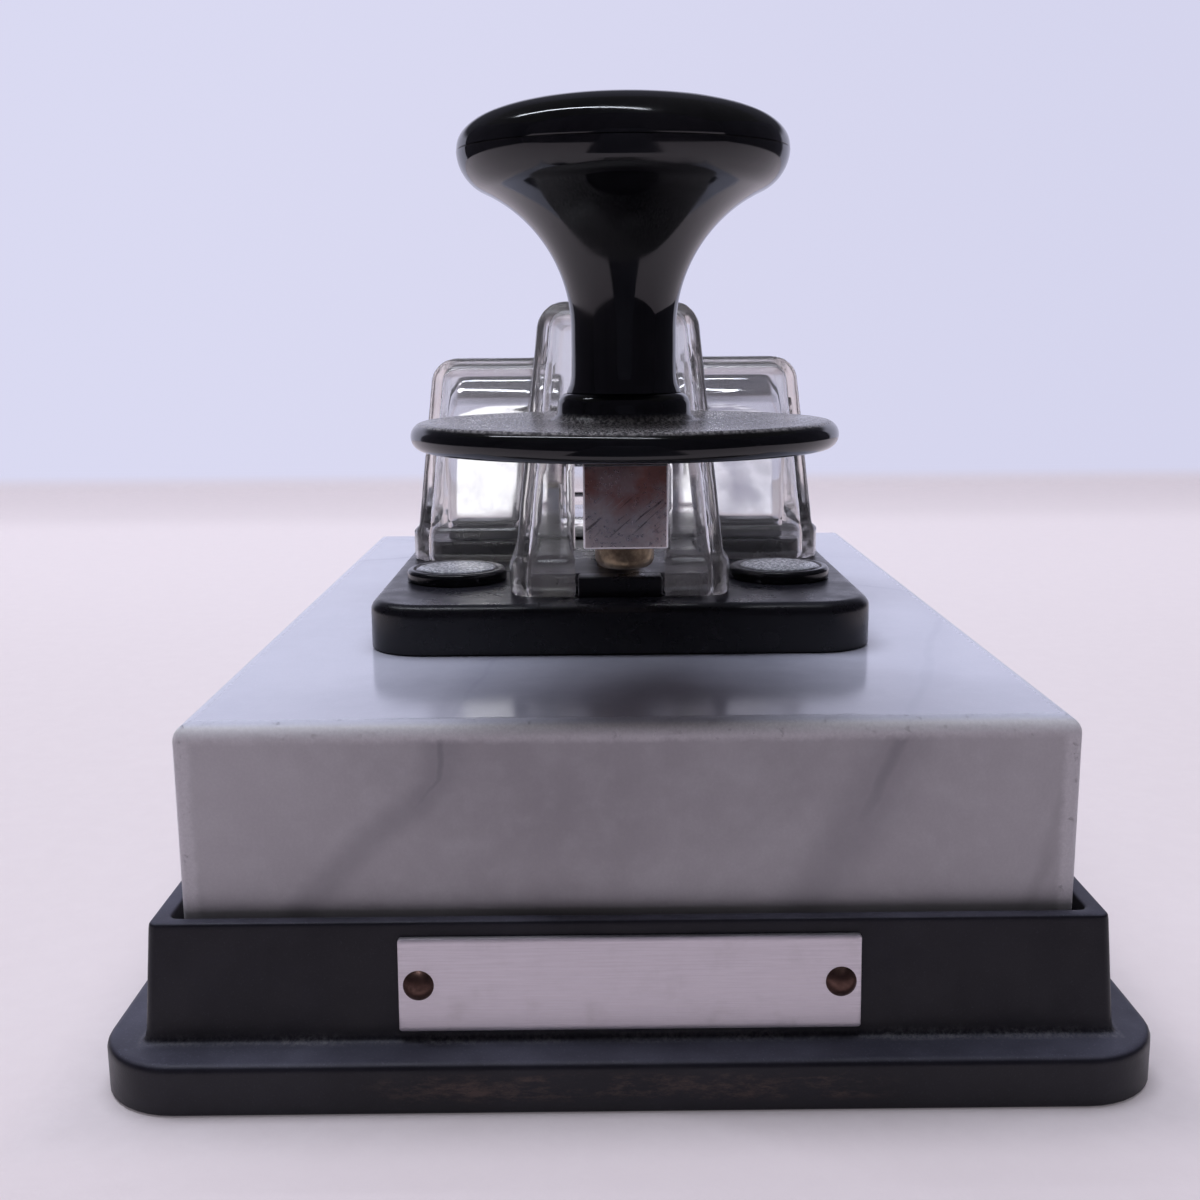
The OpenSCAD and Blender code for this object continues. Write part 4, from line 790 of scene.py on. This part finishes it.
def knob_shape():
    """A stem that flares into a mushroom head, with the mould's parting line round its widest part."""
    crown, fullness, lip, groove, dip, reach = CROWN_Z - SEAM_Z, 2.4, 0.03, 0.12, 0.55, 2.5
    cove_x, cove_r, brow_x, brow_r = 18.9, 13.9, 11.5, 4.0
    cove_z = SEAM_Z - math.sqrt((cove_r + brow_r) ** 2 - (cove_x - brow_x) ** 2)
    end = math.degrees(math.atan2(SEAM_Z - cove_z, brow_x - cove_x))
    flare = ((0.0, 0.0), (5.5, 0.0), (5.4, 0.25), (5.15, 0.8), (5.03, 1.5), (5.0, 2.5))
    profile = [(r, KNOB_Z + rise) for r, rise in flare]
    profile += arc(cove_x, cove_z, cove_r, 180, end, 32)
    profile += arc(brow_x, SEAM_Z, brow_r, end - 180, -1.2, 20)[1:]
    profile += [(KNOB_R - groove, SEAM_Z), (KNOB_R - lip, SEAM_Z + 0.07)]
    for a in np.radians(np.linspace(2, 90, 40)):
        c, s = max(math.cos(a), 0.0), math.sin(a)
        profile.append(((KNOB_R - lip) * c ** (2 / fullness), SEAM_Z + crown * s ** (2 / fullness)))
    profile[-1] = (0.0, CROWN_Z)
    verts, faces = lathe(profile)
    near = [max(1 - abs(z - SEAM_Z) / reach, 0.0) for x, y, z in verts]
    return [(x, y, z + dip * y / KNOB_R * n) for (x, y, z), n in zip(verts, near)], faces


def skirt_shape():
    """A thin disc with a rounded rim, a boss under it and a collar on it."""
    r, nose, collar, bore, fillet, edge = 20.5, (SKIRT_TOP - SKIRT_Z0) / 2, 6.4, 1.55, 1.1, 1.25
    flat = r - nose - 0.5
    profile = [(bore, LEVER_TOP), (collar, LEVER_TOP), (collar, SKIRT_Z0), (flat, SKIRT_Z0)]
    profile += arc(r - nose, SKIRT_Z0 + nose, nose, -90, 90, 20)
    profile += [(flat, SKIRT_TOP), (collar + fillet + 0.4, SKIRT_TOP)]
    profile += arc(collar + fillet, SKIRT_TOP + fillet, fillet, 270, 180, 8)
    profile += arc(collar - edge, KNOB_Z - edge, edge, 0, 90, 8)
    profile += [(bore, KNOB_Z)]
    return lathe(profile, closed=True)


def yoke_shape():
    """Two polished pillars that narrow towards round tops, on a bridge."""
    half_w, gap, bridge, slope, depth, round_r, top = 22.9, 7.0, 3.0, 1.8, 7.5, 6.2, AXIS_Z + 11.0
    pillar_edge, bridge_edge, lap = 0.7, 0.4, 0.5
    side = [(-depth, PLAT_TOP), (depth, PLAT_TOP)] + arc(0, top - round_r, round_r, 5, 175, 24)
    ease = (top - PLAT_TOP - slope) / (top - PLAT_TOP)
    pillars = []
    for sx in (-1, 1):
        inner, outer = sx * gap, sx * half_w
        verts = [(x, PIVOT_Y + y, z) for x in (inner, outer - sx * slope) for y, z in side]
        verts += [(outer, PIVOT_Y + y, PLAT_TOP + (z - PLAT_TOP) * ease) for y, z in side]
        pillars.append(bevelled((verts, skin(3, len(side))), pillar_edge, 4))
    reach = gap + lap
    floor = box(-reach, reach, PIVOT_Y - depth, PIVOT_Y + depth, PLAT_TOP, PLAT_TOP + bridge)
    return joined(*pillars, bevelled(floor, bridge_edge))


def screw_head_shape():
    """A pan head with a rounded lower edge, and its shank up into the knob."""
    r, low, edge, shank, ease = 2.9, 48.0, 1.0, 1.45, 0.1
    shank_top = KNOB_Z + 6
    profile = [(0.0, low), (r - edge - 0.6, low), (r - edge - 0.2, low + 0.02)]
    profile += arc(r - edge, low + edge, edge, -90, 0, 10)
    profile += [(r, LEVER_Z0 - ease), (r - ease, LEVER_Z0), (shank, LEVER_Z0)]
    profile += [(shank, shank_top), (0.0, shank_top)]
    return lathe(profile, 72)


lever = bevelled(box(-LEVER_X, LEVER_X, LEVER_Y0, LEVER_Y1, LEVER_Z0, LEVER_TOP), 0.22)
add_piece("lever_bar", lever, LEVER, "lever", ["lever"])
add_piece("knob_screw_head", moved(screw_head_shape(), 0, KNOB_Y), BRASS, "lever", ["knob_screw"])
add_piece("knob_body", moved(knob_shape(), 0, KNOB_Y), KNOB, "lever", ["knob"], sharp=50)
add_piece("skirt_body", moved(skirt_shape(), 0, KNOB_Y), SKIRT, "lever", ["knob_skirt"])
add_piece("yoke_body", yoke_shape(), CHROME, "base", ["bearing_yoke"])


# spring

# the coil's room under the cup, for the tension screw's travel, and the wire's thickness
FEED_ROOM, WIRE = 0.52, 0.8


def cup_shape():
    """A cap on the coil; its rim hides the room that the tension screw's travel needs."""
    r, inner, rim, thick, peg, peg_h, edge = 3.9, 3.46, 0.8, 1.2, 1.9, 1.1, 0.15
    low, top, tip = SPRING_Z1 - rim, SPRING_Z1 + thick, SPRING_Z1 - peg_h
    profile = [(0.0, tip), (peg - edge, tip), (peg, tip + edge)]
    profile += [(peg, SPRING_Z1), (inner, SPRING_Z1), (inner, low), (r - edge, low), (r, low + edge)]
    profile += [(r, top - edge), (r - edge, top), (0.0, top)]
    return lathe(profile, 96)


def spring_path():
    """Four turns with closed ends, from the seat into the cup's rim."""
    coil_r, turns, steps, closed_share, closed_rise = 2.9, 4.0, 200, 0.12, 0.08
    low, high = SPRING_Z0 + WIRE / 2, SPRING_Z1 - FEED_ROOM - WIRE / 2
    path = []
    for i in range(steps + 1):
        t = i / steps
        rise = min(max((t - closed_share) / (1 - 2 * closed_share), 0.0), 1.0)
        z = low + (high - low) * (closed_rise * t + (1 - closed_rise) * rise)
        a = 2 * math.pi * turns * t
        path.append((coil_r * math.cos(a), SPRING_Y + coil_r * math.sin(a), z))
    return path


coil = tube(spring_path(), WIRE / 2)
spring = add_piece("spring_coil", coil, SPRING, "base", ["tension_spring"], sharp=60)
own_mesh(spring)
add_piece("spring_cup_cap", moved(cup_shape(), 0, SPRING_Y), BRASS, "spring_cup", ["spring_cup"])


# cover

COVER_FOOT_Z, HUMP_TOP, WING_TOP, WALL, STEP = 45.05, 74.4, 67.75, 1.5, 0.8
HUMP_X, WING_DEPTH = 12.9, 11.437
WING_Y0, WING_Y1 = PIVOT_Y - WING_DEPTH, PIVOT_Y + WING_DEPTH
COVER_EDGE, COVER_CORNER, FOOT_CORNER, FOOT_EDGE = 3.0, 1.5, 3.8, 0.45
SLOT_X, SLOT_TOP, SLOT_CORNER = 5.15, 61.2, 0.8
DRAFT = math.radians(6)

# fillets where the hump meets the wings, above and at the foot, where the walls meet the foot, along the
# lower edges and round the slot
WALL_FILLET, FOOT_FILLET, STEP_FILLET, LOW_FILLET, SLOT_FILLET = 1.6, 1.2, 0.7, 0.3, 0.4

# the box that the cover's mesh is searched in, and its spacing
NET_LOW, NET_HIGH, NET_STEP = (-28.6, -33.0, 40.0), (28.6, 42.8, 75.2), 0.65


def smooth_min(a, b, k):
    return np.minimum(a, b) - np.maximum(k - np.abs(a - b), 0) ** 2 / (4 * k)


def smooth_max(a, b, k):
    return -smooth_min(-a, -b, k)


def rounded(distances, r):
    """Joins distances to crossing faces into one with a rounded edge."""
    q = np.stack(distances) + r
    return np.sqrt((np.maximum(q, 0) ** 2).sum(0)) + np.minimum(q.max(0), 0) - r


def leaning(p, hx, y0, y1, top, r, corner):
    """Distance to a block whose walls lean in above the cover's foot; corner rounds its upright edges."""
    x, y, z = p
    lean = math.tan(DRAFT) * np.maximum(z - COVER_FOOT_Z, 0)
    dx = (np.abs(x) - hx + lean) * math.cos(DRAFT)
    dy = (np.abs(y - (y0 + y1) / 2) - (y1 - y0) / 2 + lean) * math.cos(DRAFT)
    return rounded([rounded([dx, dy], corner), z - top], r)


def foot_band(p, hx, y0, y1):
    """Distance to the upright band at the foot of the hump or the wings."""
    x, y, z = p
    side = rounded([np.abs(x) - hx, np.abs(y - (y0 + y1) / 2) - (y1 - y0) / 2], FOOT_CORNER)
    return rounded([side, z - COVER_FOOT_Z], FOOT_EDGE)


def cover_walls(p, t):
    """The hump and the wings, t inside their outer faces."""
    inner, r, corner = STEP + t, max(COVER_EDGE - t, 1.0), max(COVER_CORNER - t, 0.5)
    hump = leaning(p, HUMP_X - inner, HUMP_Y0 + inner, HUMP_Y1 - inner, HUMP_TOP - t, r, corner)
    wings = leaning(p, WING_X - inner, WING_Y0 + inner, WING_Y1 - inner, WING_TOP - t, r, corner)
    return smooth_min(hump, wings, WALL_FILLET)


def cover_distance(p):
    """Distance to the whole cover: a shell, open below, with the lever's slot."""
    x, y, z = p
    hump, wings = foot_band(p, HUMP_X, HUMP_Y0, HUMP_Y1), foot_band(p, WING_X, WING_Y0, WING_Y1)
    outer = smooth_min(cover_walls(p, 0.0), smooth_min(hump, wings, FOOT_FILLET), STEP_FILLET)
    solid = smooth_max(outer, -cover_walls(p, WALL), LOW_FILLET)
    solid = smooth_max(solid, DECK_TOP - z, LOW_FILLET)
    past_wall = 1.0
    slot_end = HUMP_Y0 + STEP + WALL + math.tan(DRAFT) * (SLOT_TOP - COVER_FOOT_Z) + past_wall
    slot = rounded([np.abs(x) - SLOT_X, y - slot_end, z - SLOT_TOP], SLOT_CORNER)
    return smooth_max(solid, -slot, SLOT_FILLET)


def surface_net(distance, low, high, step):
    """A quad mesh of the surface where distance is 0, with its points drawn onto it."""
    pulls, eps, least_slope = 4, 1e-3, 0.05
    axes = [np.arange(a, b + step, step) for a, b in zip(low, high)]
    values = distance(np.meshgrid(*axes, indexing="ij"))
    size = values.shape
    inside = values < 0
    corners = [(i, j, k) for i in (0, 1) for j in (0, 1) for k in (0, 1)]

    def corner(grid, c):
        return grid[c[0]:size[0] - 1 + c[0], c[1]:size[1] - 1 + c[1], c[2]:size[2] - 1 + c[2]]

    # one point in each cell that the surface crosses, at the middle of its crossings
    count = sum(corner(inside, c).astype(int) for c in corners)
    crossed = (count > 0) & (count < 8)
    index = np.full(crossed.shape, -1)
    index[crossed] = np.arange(crossed.sum())
    total, hits = np.zeros((crossed.sum(), 3)), np.zeros(crossed.sum())
    for a in corners:
        for b in corners:
            if sum(np.subtract(b, a)) != 1 or min(np.subtract(b, a)) < 0:
                continue
            va, vb = corner(values, a)[crossed], corner(values, b)[crossed]
            cut = (va < 0) != (vb < 0)
            t = np.where(cut, va / np.where(cut, va - vb, 1), 0)[:, None]
            total += np.where(cut[:, None], np.array(a) + t * np.subtract(b, a), 0)
            hits += cut
    points = (np.argwhere(crossed) + total / hits[:, None]) * step + np.array([a[0] for a in axes])

    # one face round each grid edge that the surface crosses
    faces = []
    for axis in range(3):
        u, v = [a for a in range(3) if a != axis]
        lower = [slice(1, n - 1) for n in size]
        upper = list(lower)
        lower[axis], upper[axis] = slice(0, size[axis] - 1), slice(1, size[axis])
        first, second = inside[tuple(lower)], inside[tuple(upper)]
        cells = np.argwhere(first != second) + [0 if a == axis else 1 for a in range(3)]
        quad = []
        for du, dv in ((0, 0), (-1, 0), (-1, -1), (0, -1)):
            c = cells.copy()
            c[:, u] += du
            c[:, v] += dv
            quad.append(index[c[:, 0], c[:, 1], c[:, 2]])
        faces.append(np.stack(quad, 1))

    for _ in range(pulls):
        value = distance(points.T)
        slope = np.stack([(distance((points + eps * e).T) - distance((points - eps * e).T)) / (2 * eps)
                          for e in np.eye(3)], 1)
        points = points - (value / (slope ** 2).sum(1).clip(least_slope))[:, None] * slope
    return [tuple(p) for p in points], np.concatenate(faces).tolist()


cover = surface_net(cover_distance, NET_LOW, NET_HIGH, NET_STEP)
add_piece("cover_shell", cover, CLEAR, "cover", ["dust_cover"], sharp=180)


# studio

def staged(name, verts, faces, material):
    """A mesh that belongs to the studio and not to the key, in metres."""
    mesh = bpy.data.meshes.new(name)
    mesh.from_pydata(verts, [], faces)
    mesh.materials.append(material)
    sheet = bpy.data.objects.new(name, mesh)
    scene.collection.objects.link(sheet)
    return sheet


def backdrop():
    """One sweep of floor and wall."""
    side, front, fold, r, top = 2500.0, -2500.0, 500.0, 30.0, 700.0
    bend = arc(fold - r, r, r, -90, 0, 10)[1:]
    line = [(front, 0.0), (fold - r, 0.0), *bend, (fold, top)]
    verts = [(x * MM, y * MM, z * MM) for x in (-side, side) for y, z in line]
    n = len(line)
    sweep = staged("backdrop", verts, [[k, n + k, n + k + 1, k + 1] for k in range(n - 1)], backdrop_paper())
    sweep.data.polygons.foreach_set("use_smooth", [True] * (n - 1))


def backdrop_paper():
    """Pale paper: the floor keeps half of its light and shadow, and its shown tone is painted darker in
    front and by the wall's fold and paler far back; the wall grows a little darker to the right, and dark
    high up to all but camera rays.
    """
    dark_paper, pale_paper, fleck_tone = (0.82, 0.735, 0.75), (0.86, 0.775, 0.79), (0.60, 0.55, 0.60)
    near, middle_tone, far = (0.62, 0.53, 0.62), (0.82, 0.745, 0.84), (0.90, 0.825, 0.94)
    in_front, painted_shade_by_wall = (0.95, 0.87, 0.97), (0.74, 0.67, 0.77)
    left_wall, right_wall, dark_wall = (0.70, 0.70, 0.885), (0.665, 0.665, 0.85), (0.07, 0.07, 0.09)
    s = Shader("backdrop", Roughness=0.75, Specular_IOR_Level=0.2)
    fleck = s.noise(0.25, 6.0, 0.6)
    s.set(Base_Color=s.mix(s.span(fleck, 0.35, 0.7), dark_paper, pale_paper))
    s.set(Normal=s.bump(s.noise(0.5, 4.0, 0.6), 0.1))
    upright = s.span(s.z, 0.5, 8.0)
    # painted light and shade: the floor's shown tone is darker just in front of the key and by the wall's
    # fold, and paler far back and far in front
    tone = s.mix(s.span(s.y, -190.0, -40.0), near, middle_tone)
    tone = s.mix(s.fall(s.y, -420.0, -260.0), tone, in_front)
    tone = s.mix(s.span(s.y, 0.0, 260.0), tone, far)
    tone = s.mix(s.span(s.y, 330.0, 480.0), tone, painted_shade_by_wall)
    tone = s.mix(s.span(fleck, 0.35, 0.7, 0.0, 0.06), tone, fleck_tone)
    wall = s.mix(s.span(s.x, -250.0, 350.0), left_wall, right_wall)
    seen = s.node("LightPath", {}).outputs
    unlit = s.times(s.span(s.z, 240.0, 330.0), s.minus(1.0, seen["Is Camera Ray"]))
    wall = s.mix(unlit, wall, dark_wall)
    paper = s.make("Emission", {"Color": s.mix(upright, tone, wall)})
    rays = s.plus(seen["Is Camera Ray"], seen["Is Glossy Ray"])
    rays = s.math("ADD", rays, seen["Is Transmission Ray"], clamp=True)
    away = s.larger(s.minus(s.size(s.x), TRAY_X), s.minus(s.size(s.y), TRAY_Y))
    share = s.math("ADD", s.times(upright, 0.5), s.span(away, 0.0, 9.0, 0.15, 0.5), clamp=True)
    share = s.times(share, rays)
    s.surface(s.make("MixShader", {0: share, 1: s.bsdf.outputs[0], 2: paper}))
    return s.material


def area_light(name, place, aim, width, height, power, colour, turn=0, seen=("glossy", "transmission")):
    """A soft lamp at place that faces aim, in metres; turn is in degrees about its own axis."""
    data = bpy.data.lights.new(name, "AREA")
    data.shape = "RECTANGLE"
    data.size, data.size_y, data.energy, data.color = width, height, power, colour
    lamp = bpy.data.objects.new(name, data)
    lamp.location = place
    toward = Vector(aim) - Vector(place)
    facing = toward.to_track_quat("-Z", "Y").to_matrix() @ Matrix.Rotation(math.radians(turn), 3, "Z")
    lamp.rotation_euler = facing.to_euler()
    for rays in ("camera", "glossy", "transmission"):
        setattr(lamp, "visible_" + rays, rays in seen)
    scene.collection.objects.link(lamp)


def card(name, verts, faces, material, rays):
    """A sheet that only the named rays see, so it lights nothing."""
    sheet = staged(name, verts, faces, material)
    for kind in ("camera", "diffuse", "glossy", "transmission", "shadow", "volume_scatter"):
        setattr(sheet, "visible_" + kind, kind == rays)


def dark_card():
    """Stands for the dark room and the camera in front of the table, which polished black surfaces show."""
    x, front, back, top = 0.5, -0.235, 0.46, 0.45
    lens, near, low, far, high = 0.03, -0.10, 0.015, -0.20, 0.11
    black, grey = (0.02, 0.02, 0.025), (0.16, 0.155, 0.19)
    line = [(-x, back), (-x, front), (x, front), (x, back)]
    verts = [(a, b, z) for z in (0.0, top) for a, b in line]
    verts += [(-lens, near, low), (lens, near, low), (lens, far, high), (-lens, far, high)]
    faces = [[k, k + 1, k + 5, k + 4] for k in range(3)] + [[8, 9, 10, 11]]
    s = Shader("dark_card", Roughness=1.0, Specular_IOR_Level=0.0)
    streaks = s.noise(0.02, 3.0, 0.6, stretch=(1.0, 1.0, 0.1))
    s.set(Base_Color=s.mix(streaks, black, grey))
    card("dark_card", verts, faces, s.material, "glossy")


def pale_card():
    """A bright window beside the camera, which the polished pillars show through the cover."""
    x, y, z0, z1, blur, strength = 0.07, -0.2, 0.024, 0.21, 5.0, 1.8
    white, grey, cloud_tone = (0.95, 0.96, 1.0), (0.25, 0.245, 0.32), (0.65, 0.65, 0.74)
    s = Shader("pale_card")
    cloud = s.span(s.noise(0.03, 3.0, 0.5), 0.42, 0.62)
    shade = s.mix(s.span(s.x, -blur, blur), white, s.mix(cloud, grey, cloud_tone))
    s.surface(s.make("Emission", {"Color": shade, "Strength": strength}))
    verts = [(-x, y, z0), (x, y, z0), (x, y, z1), (-x, y, z1)]
    card("pale_card", verts, [[0, 1, 2, 3]], s.material, "transmission")


def world_light():
    """Weak light; the camera, and what shows through the cover, see a pale room with a dark ceiling."""
    room, ceiling, light, strength = (0.69, 0.69, 0.88), (0.10, 0.10, 0.125), (0.93, 0.93, 1.0), 0.06
    ceiling_from, ceiling_full = 0.6, 0.8
    world = bpy.data.worlds.new("studio")
    world.use_nodes = True
    scene.world = world
    world.node_tree.nodes.clear()
    w = Nodes(world.node_tree)
    seen = w.node("LightPath", {}).outputs
    up = w.split(w.make("TexCoord", {}, "Generated"))["Z"]
    limits = {"Value": up, "From Min": ceiling_from, "From Max": ceiling_full}
    overhead = w.make("MapRange", limits)
    shown = w.make("Background", {"Color": w.mix(overhead, room, ceiling)})
    lit = w.make("Background", {"Color": light, "Strength": strength})
    rays = w.math("ADD", seen["Is Camera Ray"], seen["Is Transmission Ray"], clamp=True)
    w.node("OutputWorld", {"Surface": w.make("MixShader", {0: rays, 1: lit, 2: shown})})


def camera():
    """The photograph's viewpoint, found from the marble's and the tray's edges."""
    place = [v * MM for v in (-3.1227, -186.8407, 69.6381)]
    yaw, pitch, roll = 0.005005, 0.185373, -0.007858
    focal_px, frame_px, sensor = 1370.53, 1200.0, 36.0
    forward = Vector((math.sin(yaw) * math.cos(pitch), math.cos(yaw) * math.cos(pitch), -math.sin(pitch)))
    right = Vector((math.cos(yaw), -math.sin(yaw), 0))
    up = right.cross(forward)
    right, up = (math.cos(roll) * right + math.sin(roll) * up, math.cos(roll) * up - math.sin(roll) * right)
    data = bpy.data.cameras.new("camera")
    data.sensor_width, data.sensor_fit = sensor, "HORIZONTAL"
    data.lens = sensor * focal_px / frame_px
    data.clip_start, data.clip_end = 0.005, 20.0
    eye = bpy.data.objects.new("camera", data)
    turn = Matrix((right, up, -forward)).transposed().to_4x4()
    eye.matrix_world = Matrix.Translation(place) @ turn
    scene.collection.objects.link(eye)
    scene.camera = eye


backdrop()
LAMP, TUBE = (0.83, 0.875, 1.0), (0.86, 0.90, 1.0)
area_light("overhead_softbox", (-0.10, 0.20, 1.30), (-0.10, 0.12, 0), width=1.6, height=0.6, power=10.8,
           colour=LAMP, seen=())
area_light("slanting_tube", (-0.355, -0.005, 1.2), (-0.355, -0.005, 0), width=1.3, height=0.035, power=4.2,
           colour=TUBE, turn=-30)
area_light("rear_tube", (-0.30, 0.60, 1.2), (-0.30, 0.60, 0), width=1.0, height=0.03, power=3.0,
           colour=TUBE, seen=("transmission",))
dark_card()
pale_card()
world_light()
camera()
